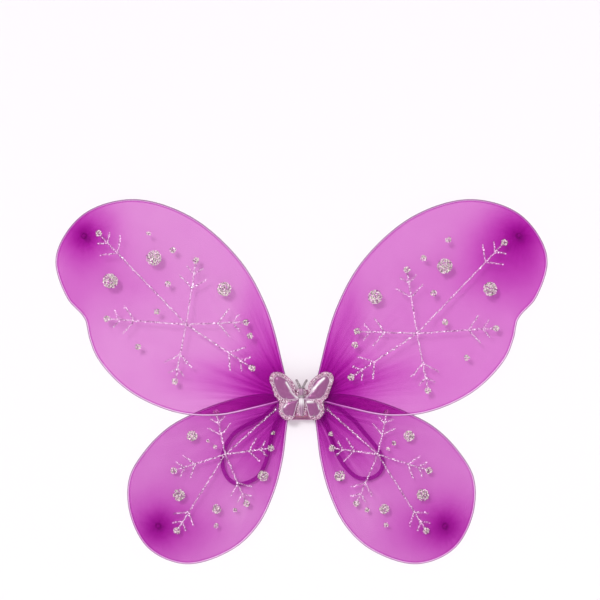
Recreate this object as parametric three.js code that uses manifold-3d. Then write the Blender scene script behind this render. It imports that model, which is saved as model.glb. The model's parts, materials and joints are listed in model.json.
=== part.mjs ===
// Fairy wings: four wire wings covered in sheer nylon, a padded butterfly ornament on a
// wrapped centre, and two elastic arm loops.
// Millimetres. +Z runs up the wearer's spine, +X to the wearer's right, and -Y away from the
// wearer, towards whoever looks at the wings. The origin is the centre of the felt pad's rear
// face, which rests on the wearer's back. Each side folds forward about an upright axis.

import * as THREE from 'three';
import { mergeVertices } from 'three/addons/utils/BufferGeometryUtils.js';
import Module from 'manifold-3d';

const manifoldKit = await Module();
manifoldKit.setup();

// ---------------------------------------------------------------- driving dimensions
const UPPER_REACH = 261;        // root to outermost rim of an upper wing
const UPPER_RISE = 222;         // root to top rim of an upper wing
const LOWER_REACH = 181;        // root to outermost rim of a lower wing
const LOWER_DROP = 175;         // root to bottom rim of a lower wing

const WIRE_DIAMETER = 1.8;
const NYLON_THICKNESS = 0.6;
const GLITTER_THICKNESS = 0.6;
const GLITTER_LINE_WIDTH = 2.2;
const GLITTER_DOT_RADIUS = 3;

const SEAT_GAP = 0.3;           // between pieces that touch on the real object
const PAD_WIDTH = 32;
const PAD_HEIGHT = 34;
const PAD_THICKNESS = 2.5;
const PAD_CORNER = 6;

const STRAP_WIDTH = 4.5;
const STRAP_THICKNESS = 1;
const STRAP_TO_WIRE = 1.3;      // air between an arm loop and the wing in front of it
const TAB_WIDTH = 10;
const TAB_TOP = 7.5;
const TAB_BOTTOM = -15;

const WING_SPACING = 3.5;       // lower wing plane to upper wing plane
const UPPER_ROOT_Z = 7.5;
const LOWER_ROOT_Z = -2.5;
const GATHER_REACH = 9;         // bunched nylon, from the bend axis to where the wires show
const GATHER_THICKNESS = 3.2;
const GATHER_TO_WIRE = 0.4;
const BARREL_HEIGHT = 7;
const BARREL_INSET = 0.45;      // barrel, inside the circle that the wedge sweeps
const BEND_CLEARANCE = 0.65;    // wing root to the wrapped centre, at any fold

const WRAP_WIDTH = 18;
const WRAP_HEIGHT = 29;
const WRAP_WALL = 1.5;
const WRAP_CENTRE_Z = 0.5;
const WRAP_IN_FRONT = 3;        // wrap front, ahead of the upper wing plane
const TAPE_WIDTH = 9;
const TAPE_WALL = 1.2;
const TAIL_DIAMETER = 2.6;
const TAIL_CLEARANCE = 0.35;

const TOE_KNOT_RADIUS = 4.5;
const TOE_KNOT_HEIGHT = 4;
const TOE_NECK_RADIUS = 1.8;
const TOE_THREAD = 0.8;

const BACKING_THICKNESS = 1.2;
const BORDER_THICKNESS = 1.5;
const PUFF_THICKNESS = 3.8;
const PUFF_CROWN = 1.3;         // rounding of a puff's edge
const FLAP_AXIS_X = 7;          // where each half of the ornament bends
const FLAP_GAP = 0.4;           // from that line to the pieces on each side of it
const BODY_RADIUS = 2.8;
const BODY_WAIST_RADIUS = 1.7;
const BODY_TOP = 19.4;
const BODY_BOTTOM = -12;
const BODY_WAIST_Z = 10;
const ANTENNA_DIAMETER = 1.6;
const ANTENNA_BELOW_TOP = 0.1;  // antenna's lower end, under the top of the body
const CINCH_HEIGHT = 2.4;
const CORE_ABOVE_WAIST = 4;

// ---------------------------------------------------------------- places that follow
const WIRE_RADIUS = WIRE_DIAMETER / 2;
const STRAP_BACK_Y = -(PAD_THICKNESS + SEAT_GAP);
const STRAP_Y = STRAP_BACK_Y - STRAP_THICKNESS / 2;
const LOWER_PLANE_Y = STRAP_BACK_Y - STRAP_THICKNESS - STRAP_TO_WIRE - WIRE_RADIUS;
const UPPER_PLANE_Y = LOWER_PLANE_Y - WING_SPACING;
const BEND_Y = (LOWER_PLANE_Y + UPPER_PLANE_Y) / 2;
const BEND_RADIUS = WING_SPACING / 2 + GATHER_THICKNESS / 2;
const BEND_X = WRAP_WIDTH / 2 + BEND_RADIUS + BEND_CLEARANCE;
const BARREL_RADIUS = BEND_RADIUS - BARREL_INSET;
const TAIL_END_X = BEND_X - BARREL_RADIUS - 2 * SEAT_GAP;
const WIRE_START = GATHER_REACH + GATHER_TO_WIRE;
const WRAP_BACK_Y = -(PAD_THICKNESS + SEAT_GAP);
const WRAP_FRONT_Y = UPPER_PLANE_Y - WRAP_IN_FRONT;
const TAB_INNER_X = WRAP_WIDTH / 2 + 2 * SEAT_GAP;
const TAB_OUTER_X = TAB_INNER_X + TAB_WIDTH;
const ORNAMENT_BACK_Y = WRAP_FRONT_Y - SEAT_GAP;
const ORNAMENT_FACE_Y = ORNAMENT_BACK_Y - BACKING_THICKNESS;
const BODY_Y = ORNAMENT_FACE_Y - SEAT_GAP - BODY_RADIUS;

// ---------------------------------------------------------------- outlines
// Wing rims, from the inner wire end round to the other one. Each point is given out from the
// root as a share of the reach, and up from it as a share of the rise or the drop.
const UPPER_RIM = [
  [0.031, 0.155], [0.1, 0.448], [0.218, 0.696], [0.433, 0.917], [0.678, 1], [0.889, 0.921],
  [1, 0.714], [0.954, 0.511], [0.877, 0.403], [0.858, 0.309], [0.82, 0.2], [0.69, 0.041],
  [0.494, -0.065], [0.314, -0.083], [0.142, -0.043],
];
const LOWER_RIM = [
  [0.025, -0.14], [0.05, -0.34], [0.105, -0.551], [0.204, -0.757], [0.365, -0.911], [0.641, -1],
  [0.867, -0.906], [0.983, -0.694], [0.992, -0.46], [0.9, -0.289], [0.751, -0.134],
  [0.58, -0.037], [0.398, 0.034], [0.26, 0.069], [0.138, 0.08], [0.077, 0.066],
];

// Snowflake drawings in glitter glue: centre and arm tips, in the same shares.
const UPPER_MOTIF = {
  centre: [0.445, 0.373],
  tips: [[0.82, 0.832], [0.402, 0.695], [0.188, 0.384], [0.163, 0.153], [0.493, 0.085], [0.785, 0.401]],
  plainArms: [],
  pairs: [{ setBack: 31, length: 20 }, { setBack: 15, length: 12 }],
};
const LOWER_MOTIF = {
  centre: [0.4, -0.302],
  tips: [[0.086, -0.012], [0.455, -0.036], [0.117, -0.261], [0.268, -0.616], [0.7, -0.791], [0.718, -0.407]],
  plainArms: [0],
  pairs: [{ setBack: 25, length: 16.5 }, { setBack: 12, length: 11 }],
};
const RIGHT_UPPER_MOTIF_DROP = 0.046;   // the right upper drawing sits lower on its wing
const BRANCH_ANGLE = THREE.MathUtils.degToRad(52);

const WINGS = {
  upper: {
    rim: UPPER_RIM, motif: UPPER_MOTIF, reach: UPPER_REACH, rise: UPPER_RISE,
    planeY: UPPER_PLANE_Y, rootZ: UPPER_ROOT_Z, wireAngles: [75, -14], toe: [0.883, 0.82],
  },
  lower: {
    rim: LOWER_RIM, motif: LOWER_MOTIF, reach: LOWER_REACH, rise: LOWER_DROP,
    planeY: LOWER_PLANE_Y, rootZ: LOWER_ROOT_Z, wireAngles: [-75, 45], toe: [0.816, -0.763],
  },
};

// Ornament, right half, [x, z]: the whole flap, then the two cells that the puffs fill.
const FLAP_TOP_Z = 22.5;
const FLAP_BOTTOM_Z = -12;
const FLAP_OUTLINE = [
  [11.2, 28], [20.5, 35.3], [28.5, 37.3], [34.6, 34], [35.5, 28], [32.5, 19.3], [29, 9.5],
  [24.4, 3.8], [25.4, -2.5], [24, -10], [19.5, -15.3], [14.5, -16.8], [9.3, -14.2],
];
const UPPER_CELL = [
  [10.6, 14], [14, 25.5], [21, 31.3], [28, 33.2], [31.4, 29], [29, 19.5], [25, 11], [18, 6.8],
];
const LOWER_CELL = [
  [10.6, 1.2], [16.5, 3], [21, -1.5], [20.4, -8.3], [16, -12.4], [11.6, -10.5], [10.2, -4],
];

// Arm loops, [x, z], from the upper end on the tab round to the lower end.
const RIGHT_LOOP = [
  [30, 2.5], [42, -4], [53, -12.8], [61, -20], [70, -31], [80, -42.6], [88, -54], [91.3, -65],
  [88.5, -75], [81, -81], [72, -83], [61, -80.5], [49, -69.5], [41, -57], [36.4, -46], [32, -34.7],
  [29, -24], [25.5, -15.5],
];
const LEFT_LOOP = [
  [-29, 0.5], [-41, -12], [-52, -18], [-65, -24.5], [-77, -33.5], [-85, -46], [-89, -60.5], [-87, -74],
  [-81, -84], [-72.5, -88.5], [-62, -87.5], [-49, -80.5], [-41, -66], [-36.5, -50.5], [-33.5, -35],
  [-30, -23], [-25.5, -15],
];
const LOOP_START_Z = 4.5;
const LOOP_END_Z = -12.2;
const LOOP_GAP = 0.6;           // tab edge to an arm loop's sewn end
const LOOP_LEAD = 3;            // each end leaves the tab square for this far

// ---------------------------------------------------------------- fineness
const WIRE_SIDES = 6;
const WIRE_STEPS = 84;
const STRAP_STEPS = 64;
const WELD_DISTANCE = 1e-4;
const CELL_POINTS = 28;
const FLAP_POINTS = 44;

// ---------------------------------------------------------------- materials
function paint(color, roughness, metalness = 0) {
  return () => new THREE.MeshStandardMaterial({ color, roughness, metalness });
}
const wirePaint = paint(0xc9a0d4, 0.4, 0.6);
const nylonPaint = paint(0xd266c8, 0.6);
const gatheredNylonPaint = paint(0x9a1796, 0.7);
const glitterPaint = paint(0xd9d4de, 0.3, 0.7);
const feltPaint = paint(0xd97fb4, 0.95);
const wrapPaint = paint(0xd24f80, 0.8);
const tapePaint = paint(0xf0e8ee, 0.6);
const twistPaint = paint(0xa8a4ac, 0.35, 0.9);
const elasticPaint = paint(0x7c1a86, 0.85);
const filmPaint = paint(0xb58cc0, 0.25, 0.6);
const borderPaint = paint(0xdcb9cf, 0.4, 0.5);

// ---------------------------------------------------------------- geometry helpers
const model = new THREE.Group();

function addPart(name, geometry, makeMaterial) {
  const mesh = new THREE.Mesh(geometry, makeMaterial());
  mesh.name = name;
  model.add(mesh);
}

// Always anticlockwise, which lets a hole wind either way.
function shapeOf(points) {
  const corners = points.map(([x, z]) => new THREE.Vector2(x, z));
  return new THREE.Shape(THREE.ShapeUtils.isClockWise(corners) ? corners.reverse() : corners);
}

// A plate drawn in X and Z, with its rear face at backY and its thickness towards -Y.
function plate(shape, backY, thickness) {
  const geometry = new THREE.ExtrudeGeometry(shape, { depth: thickness, bevelEnabled: false });
  geometry.rotateX(Math.PI / 2);
  geometry.translate(0, backY, 0);
  return geometry;
}

function tubeAlong(curve, steps, section) {
  return new THREE.ExtrudeGeometry(section, { steps, bevelEnabled: false, extrudePath: curve });
}

function regularPolygon(radius, sides) {
  const corners = [];
  for (let i = 0; i < sides; i += 1) {
    const angle = (2 * Math.PI * i) / sides;
    corners.push([radius * Math.cos(angle), radius * Math.sin(angle)]);
  }
  return shapeOf(corners);
}

function rectangle(left, right, bottom, top) {
  return shapeOf([[left, bottom], [right, bottom], [right, top], [left, top]]);
}

function splineXZ(points, y, closed = false) {
  const nodes = points.map(([x, z]) => new THREE.Vector3(x, y, z));
  return new THREE.CatmullRomCurve3(nodes, closed, 'centripetal');
}

function closedOutline(points, side, count) {
  const curve = splineXZ(points.map(([x, z]) => [side * x, z]), 0, true);
  return curve.getSpacedPoints(count).slice(0, count).map((point) => [point.x, point.z]);
}

// Moves each point of a closed outline inwards by a distance.
function inset(outline, distance) {
  const turn = Math.sign(THREE.ShapeUtils.area(outline.map(([x, z]) => ({ x, y: z }))));
  return outline.map(([x, z], i) => {
    const before = outline[(i + outline.length - 1) % outline.length];
    const after = outline[(i + 1) % outline.length];
    const dx = after[0] - before[0];
    const dz = after[1] - before[1];
    const length = Math.hypot(dx, dz);
    return [x - (turn * distance * dz) / length, z + (turn * distance * dx) / length];
  });
}

function toSolid(geometry) {
  const bare = geometry.clone();
  bare.deleteAttribute('normal');
  bare.deleteAttribute('uv');
  const merged = mergeVertices(bare, WELD_DISTANCE);
  return new manifoldKit.Manifold(new manifoldKit.Mesh({
    numProp: 3,
    vertProperties: new Float32Array(merged.attributes.position.array),
    triVerts: new Uint32Array(merged.index.array),
  }));
}

function joined(geometries) {
  const solids = geometries.map(toSolid);
  const whole = solids.reduce((sum, solid) => sum.add(solid)).getMesh();
  const geometry = new THREE.BufferGeometry();
  geometry.setAttribute('position', new THREE.BufferAttribute(new Float32Array(whole.vertProperties), 3));
  geometry.setIndex(new THREE.BufferAttribute(new Uint32Array(whole.triVerts), 1));
  return geometry;
}

// ---------------------------------------------------------------- wings
function wingPoint(wing, side, [out, up]) {
  return [side * (BEND_X + out * wing.reach), wing.rootZ + up * wing.rise];
}

function fromRoot(wing, side, radius, degrees) {
  const angle = THREE.MathUtils.degToRad(degrees);
  return [side * (BEND_X + radius * Math.cos(angle)), wing.rootZ + radius * Math.sin(angle)];
}

function rimPoints(wing, side) {
  const [first, last] = wing.wireAngles.map((degrees) => fromRoot(wing, side, WIRE_START, degrees));
  return [first, ...wing.rim.map((share) => wingPoint(wing, side, share)), last];
}

function wireFrame(wing, side) {
  const curve = splineXZ(rimPoints(wing, side), wing.planeY);
  return tubeAlong(curve, WIRE_STEPS, regularPolygon(WIRE_RADIUS, WIRE_SIDES));
}

function nylonSkin(wing, side) {
  const curve = splineXZ(rimPoints(wing, side), wing.planeY);
  const rim = curve.getSpacedPoints(WIRE_STEPS).map((point) => [point.x, point.z]);
  const edge = inset(rim, WIRE_RADIUS + SEAT_GAP);
  return plate(shapeOf(edge), wing.planeY + NYLON_THICKNESS / 2, NYLON_THICKNESS);
}

// The bunched nylon and bound wire ends: a barrel on the bend axis and a wedge to the wires.
function rootGather(wing, side) {
  const barrel = new THREE.CylinderGeometry(BARREL_RADIUS, BARREL_RADIUS, BARREL_HEIGHT, 16);
  barrel.rotateX(Math.PI / 2);
  barrel.translate(side * BEND_X, BEND_Y, wing.rootZ);
  const half = BARREL_HEIGHT / 2 - SEAT_GAP;
  const rising = Math.sign(wing.wireAngles[0]);
  const corners = [
    [side * BEND_X, wing.rootZ + rising * half],
    ...wing.wireAngles.map((degrees) => fromRoot(wing, side, GATHER_REACH, degrees)),
    [side * BEND_X, wing.rootZ - rising * half],
  ];
  const wedge = plate(shapeOf(corners), wing.planeY + GATHER_THICKNESS / 2, GATHER_THICKNESS);
  return joined([barrel, wedge]);
}

// A flat bar of glitter from one point to another, on the front of the nylon.
function glitterBar(from, to, planeY) {
  const dx = to[0] - from[0];
  const dz = to[1] - from[1];
  const bar = new THREE.BoxGeometry(Math.hypot(dx, dz), GLITTER_THICKNESS, GLITTER_LINE_WIDTH);
  bar.rotateY(-Math.atan2(dz, dx));
  bar.translate((from[0] + to[0]) / 2, planeY, (from[1] + to[1]) / 2);
  return bar;
}

function glitterDot(centre, planeY) {
  const dot = new THREE.CylinderGeometry(GLITTER_DOT_RADIUS, GLITTER_DOT_RADIUS, GLITTER_THICKNESS, 8);
  dot.translate(centre[0], planeY, centre[1]);
  return dot;
}

function snowflakeArm(centre, tip, pairs, planeY) {
  const pieces = [glitterBar(centre, tip, planeY), glitterDot(tip, planeY)];
  const heading = Math.atan2(tip[1] - centre[1], tip[0] - centre[0]);
  for (const { setBack, length } of pairs) {
    const node = [tip[0] - setBack * Math.cos(heading), tip[1] - setBack * Math.sin(heading)];
    for (const turn of [BRANCH_ANGLE, -BRANCH_ANGLE]) {
      const end = [node[0] + length * Math.cos(heading + turn), node[1] + length * Math.sin(heading + turn)];
      pieces.push(glitterBar(node, end, planeY));
    }
  }
  return pieces;
}

function snowflake(wing, side, drop) {
  const motif = wing.motif;
  const planeY = wing.planeY - NYLON_THICKNESS / 2 - SEAT_GAP - GLITTER_THICKNESS / 2;
  const place = ([out, up]) => wingPoint(wing, side, [out, up - drop]);
  const centre = place(motif.centre);
  const arms = motif.tips.map((tip, i) => {
    const pairs = motif.plainArms.includes(i) ? [] : motif.pairs;
    return snowflakeArm(centre, place(tip), pairs, planeY);
  });
  return joined(arms.flat());
}

// Turns a lathed piece, whose axis is Y, to stand out behind a wing's nylon.
function behindWing(geometry, wing, side) {
  const [x, z] = wingPoint(wing, side, wing.toe);
  geometry.translate(x, wing.planeY + NYLON_THICKNESS / 2 + SEAT_GAP, z);
  return geometry;
}

// The nylon sleeve's closed toe, drawn through to the rear and tied off.
function toeKnot(wing, side) {
  const height = TOE_KNOT_HEIGHT;
  const profile = [
    [0, 0], [TOE_KNOT_RADIUS, 0], [0.55 * TOE_KNOT_RADIUS, 0.2 * height], [TOE_NECK_RADIUS, 0.35 * height],
    [TOE_NECK_RADIUS, 0.65 * height], [0.7 * TOE_KNOT_RADIUS, height], [0, height],
  ];
  const points = profile.map(([radius, y]) => new THREE.Vector2(radius, y));
  return behindWing(new THREE.LatheGeometry(points, 14), wing, side);
}

function toeThread(wing, side) {
  const inner = TOE_NECK_RADIUS + SEAT_GAP;
  const outer = inner + TOE_THREAD;
  const middle = TOE_KNOT_HEIGHT / 2;
  const low = middle - TOE_THREAD / 2;
  const high = middle + TOE_THREAD / 2;
  const profile = [[inner, low], [outer, low], [outer, high], [inner, high], [inner, low]];
  const points = profile.map(([radius, y]) => new THREE.Vector2(radius, y));
  return behindWing(new THREE.LatheGeometry(points, 14), wing, side);
}

function addWing(sideName, side, levelName) {
  const wing = WINGS[levelName];
  const name = `${sideName}_${levelName}`;
  const drop = name === 'right_upper' ? RIGHT_UPPER_MOTIF_DROP : 0;
  addPart(`${name}_wire_frame`, wireFrame(wing, side), wirePaint);
  addPart(`${name}_nylon_skin`, nylonSkin(wing, side), nylonPaint);
  addPart(`${name}_root_gather`, rootGather(wing, side), gatheredNylonPaint);
  addPart(`${name}_snowflake`, snowflake(wing, side, drop), glitterPaint);
  addPart(`${name}_toe_knot`, toeKnot(wing, side), gatheredNylonPaint);
  addPart(`${name}_toe_thread`, toeThread(wing, side), elasticPaint);
}

// ---------------------------------------------------------------- centre
function backPad() {
  const w = PAD_WIDTH / 2;
  const h = PAD_HEIGHT / 2;
  const r = PAD_CORNER;
  const shape = new THREE.Shape();
  shape.absarc(w - r, h - r, r, 0, Math.PI / 2);
  shape.absarc(-w + r, h - r, r, Math.PI / 2, Math.PI);
  shape.absarc(-w + r, -h + r, r, Math.PI, 1.5 * Math.PI);
  shape.absarc(w - r, -h + r, r, 1.5 * Math.PI, 2 * Math.PI);
  return plate(shape, 0, PAD_THICKNESS);
}

// A band closed on itself round the X axis, given by its outer faces and its wall.
function bandAlongX(width, backY, frontY, bottomZ, topZ, wall) {
  const outer = rectangle(frontY, backY, bottomZ, topZ);
  outer.holes.push(rectangle(frontY + wall, backY - wall, bottomZ + wall, topZ - wall));
  const geometry = new THREE.ExtrudeGeometry(outer, { depth: width, bevelEnabled: false });
  geometry.rotateX(Math.PI / 2);
  geometry.rotateZ(Math.PI / 2);
  geometry.translate(-width / 2, 0, 0);
  return geometry;
}

function centreWrap() {
  const bottom = WRAP_CENTRE_Z - WRAP_HEIGHT / 2;
  return bandAlongX(WRAP_WIDTH, WRAP_BACK_Y, WRAP_FRONT_Y, bottom, bottom + WRAP_HEIGHT, WRAP_WALL);
}

function bundleTape() {
  const reach = TAIL_DIAMETER / 2 + TAIL_CLEARANCE + TAPE_WALL;
  const bottom = LOWER_ROOT_Z - reach;
  const top = UPPER_ROOT_Z + reach;
  return bandAlongX(TAPE_WIDTH, BEND_Y + reach, BEND_Y - reach, bottom, top, TAPE_WALL);
}

function wireTail(side, rootZ) {
  const from = new THREE.Vector3(side * SEAT_GAP, BEND_Y, rootZ);
  const to = new THREE.Vector3(side * TAIL_END_X, BEND_Y, rootZ);
  return tubeAlong(new THREE.LineCurve3(from, to), 1, regularPolygon(TAIL_DIAMETER / 2, 8));
}

function strapTab(side) {
  const [left, right] = [side * TAB_INNER_X, side * TAB_OUTER_X].sort((a, b) => a - b);
  return plate(rectangle(left, right, TAB_BOTTOM, TAB_TOP), STRAP_BACK_Y, STRAP_THICKNESS);
}

function armLoop(side, route) {
  const edge = side * (TAB_OUTER_X + LOOP_GAP);
  const lead = edge + side * LOOP_LEAD;
  const start = [[edge, LOOP_START_Z], [lead, LOOP_START_Z]];
  const end = [[lead, LOOP_END_Z], [edge, LOOP_END_Z]];
  const curve = splineXZ([...start, ...route, ...end], STRAP_Y);
  const t = STRAP_THICKNESS / 2;
  const w = STRAP_WIDTH / 2;
  return tubeAlong(curve, STRAP_STEPS, rectangle(-t, t, -w, w));
}

// ---------------------------------------------------------------- ornament
function flapOutline(side) {
  const inner = FLAP_AXIS_X + FLAP_GAP;
  const nodes = [[inner, FLAP_TOP_Z], ...FLAP_OUTLINE, [inner, FLAP_BOTTOM_Z]];
  const curve = splineXZ(nodes.map(([x, z]) => [side * x, z]), 0);
  return curve.getSpacedPoints(FLAP_POINTS).map((point) => [point.x, point.z]);
}

function flapBacking(side) {
  return plate(shapeOf(flapOutline(side)), ORNAMENT_BACK_Y, BACKING_THICKNESS);
}

function flapBorder(side) {
  const shape = shapeOf(flapOutline(side));
  for (const cell of [UPPER_CELL, LOWER_CELL]) {
    shape.holes.push(shapeOf(closedOutline(cell, side, CELL_POINTS)));
  }
  return plate(shape, ORNAMENT_FACE_Y - SEAT_GAP, BORDER_THICKNESS);
}

// A stuffed cell: a flat back and a crowned front, clear of the border round it.
function flapPuff(side, cell) {
  const outline = inset(closedOutline(cell, side, CELL_POINTS), SEAT_GAP);
  const geometry = new THREE.ExtrudeGeometry(shapeOf(outline), {
    depth: PUFF_THICKNESS - 2 * PUFF_CROWN,
    bevelThickness: PUFF_CROWN,
    bevelSize: PUFF_CROWN,
    bevelOffset: -PUFF_CROWN,
    bevelSegments: 2,
  });
  geometry.rotateX(Math.PI / 2);
  geometry.translate(0, ORNAMENT_FACE_Y - SEAT_GAP - PUFF_CROWN, 0);
  return geometry;
}

function ornamentCore() {
  const half = FLAP_AXIS_X - FLAP_GAP;
  const strip = rectangle(-half, half, FLAP_BOTTOM_Z, BODY_WAIST_Z + CORE_ABOVE_WAIST);
  return plate(strip, ORNAMENT_BACK_Y, BACKING_THICKNESS);
}

function ornamentBody() {
  const profile = [
    [0, BODY_BOTTOM], [0.5 * BODY_RADIUS, BODY_BOTTOM + 1.5], [0.85 * BODY_RADIUS, BODY_BOTTOM + 6],
    [BODY_RADIUS, BODY_WAIST_Z - 6], [BODY_WAIST_RADIUS, BODY_WAIST_Z - 1.5],
    [BODY_WAIST_RADIUS, BODY_WAIST_Z + 1.5], [0.9 * BODY_RADIUS, BODY_WAIST_Z + 4.5],
    [0.7 * BODY_RADIUS, BODY_TOP - 1.2], [0, BODY_TOP],
  ];
  const geometry = new THREE.LatheGeometry(profile.map(([r, y]) => new THREE.Vector2(r, y)), 14);
  geometry.rotateX(Math.PI / 2);
  geometry.translate(0, BODY_Y, 0);
  return geometry;
}

function ornamentCinch() {
  const inner = BODY_WAIST_RADIUS + SEAT_GAP;
  const low = BODY_WAIST_Z - CINCH_HEIGHT / 2;
  const high = low + CINCH_HEIGHT;
  const profile = [[inner, low], [BODY_RADIUS, low], [BODY_RADIUS, high], [inner, high], [inner, low]];
  const geometry = new THREE.LatheGeometry(profile.map(([r, y]) => new THREE.Vector2(r, y)), 14);
  geometry.rotateX(Math.PI / 2);
  geometry.translate(0, BODY_Y, 0);
  return geometry;
}

function antenna(side) {
  const points = [[1.4, BODY_TOP - ANTENNA_BELOW_TOP], [3.4, 24], [6, 28.6]];
  const curve = splineXZ(points.map(([x, z]) => [side * x, z]), BODY_Y);
  return tubeAlong(curve, 6, regularPolygon(ANTENNA_DIAMETER / 2, 6));
}

function addOrnamentHalf(sideName, side) {
  addPart(`ornament_${sideName}_backing`, flapBacking(side), feltPaint);
  addPart(`ornament_${sideName}_border`, flapBorder(side), borderPaint);
  addPart(`ornament_${sideName}_upper_puff`, flapPuff(side, UPPER_CELL), filmPaint);
  addPart(`ornament_${sideName}_lower_puff`, flapPuff(side, LOWER_CELL), filmPaint);
  addPart(`ornament_${sideName}_antenna`, antenna(side), glitterPaint);
}

// ---------------------------------------------------------------- assembly
addPart('back_pad', backPad(), feltPaint);
addPart('centre_wrap', centreWrap(), wrapPaint);
addPart('bundle_tape', bundleTape(), tapePaint);
addPart('ornament_core', ornamentCore(), feltPaint);
addPart('ornament_body', ornamentBody(), filmPaint);
addPart('ornament_cinch', ornamentCinch(), glitterPaint);

for (const [sideName, side, route] of [['left', -1, LEFT_LOOP], ['right', 1, RIGHT_LOOP]]) {
  addPart(`${sideName}_upper_wire_tail`, wireTail(side, UPPER_ROOT_Z), twistPaint);
  addPart(`${sideName}_lower_wire_tail`, wireTail(side, LOWER_ROOT_Z), twistPaint);
  addPart(`${sideName}_strap_tab`, strapTab(side), elasticPaint);
  addPart(`${sideName}_arm_loop`, armLoop(side, route), elasticPaint);
  addWing(sideName, side, 'upper');
  addWing(sideName, side, 'lower');
  addOrnamentHalf(sideName, side);
}

export default model;
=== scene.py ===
"""Looks for the fairy wings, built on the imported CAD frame.

Everything is in metres in the row frame: X to the right, Y away from the viewer and towards the
wearer's back, Z up. Outlines come from the CAD nodes, so each piece sits where the CAD says.
"""

import json
import math

import bpy
import numpy as np
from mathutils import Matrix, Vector, geometry


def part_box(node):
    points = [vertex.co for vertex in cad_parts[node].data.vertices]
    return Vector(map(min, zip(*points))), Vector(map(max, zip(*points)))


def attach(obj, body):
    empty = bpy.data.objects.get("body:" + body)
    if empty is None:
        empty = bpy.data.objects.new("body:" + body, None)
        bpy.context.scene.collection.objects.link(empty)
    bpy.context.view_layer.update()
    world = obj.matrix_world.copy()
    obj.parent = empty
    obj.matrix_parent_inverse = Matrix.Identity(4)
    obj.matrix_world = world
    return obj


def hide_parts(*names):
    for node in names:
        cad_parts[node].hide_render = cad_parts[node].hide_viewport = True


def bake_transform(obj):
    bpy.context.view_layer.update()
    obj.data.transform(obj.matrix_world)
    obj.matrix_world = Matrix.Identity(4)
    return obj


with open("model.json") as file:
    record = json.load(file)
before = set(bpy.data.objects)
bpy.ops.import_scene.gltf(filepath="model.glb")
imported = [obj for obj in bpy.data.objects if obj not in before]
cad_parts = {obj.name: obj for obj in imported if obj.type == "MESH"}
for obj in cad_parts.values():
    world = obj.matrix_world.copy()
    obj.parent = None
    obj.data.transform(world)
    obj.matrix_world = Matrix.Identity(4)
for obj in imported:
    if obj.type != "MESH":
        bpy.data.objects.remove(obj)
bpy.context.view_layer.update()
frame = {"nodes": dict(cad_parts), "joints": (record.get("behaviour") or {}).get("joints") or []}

MM = 0.001
SIDES = {"left": -1, "right": 1}
JOINTS = {joint["name"]: joint for joint in frame["joints"]}
HINGE = np.array(JOINTS["right_upper_fold"]["pos_m"])
ROOT_Z = {level: JOINTS[f"right_{level}_fold"]["pos_m"][2] for level in ("upper", "lower")}


# ------------------------------------------------------------------------------ camera
CAMERA_DISTANCE = 2.5
FIELD_WIDTH = 0.672
SENSOR_WIDTH = 36.0
AIM_X = -1.7 * MM
AIM_Z = 117.6 * MM


def add_camera():
    """Straight in front of the wings and square to them, as the photograph is."""
    data = bpy.data.cameras.new("photo_camera")
    data.sensor_width = SENSOR_WIDTH
    data.lens = SENSOR_WIDTH * CAMERA_DISTANCE / FIELD_WIDTH
    data.clip_end = 20.0
    camera = bpy.data.objects.new("photo_camera", data)
    bpy.context.scene.collection.objects.link(camera)
    camera.location = (AIM_X, HINGE[1] - CAMERA_DISTANCE, AIM_Z)
    camera.rotation_euler = (math.pi / 2, 0.0, 0.0)
    bpy.context.scene.camera = camera


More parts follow.
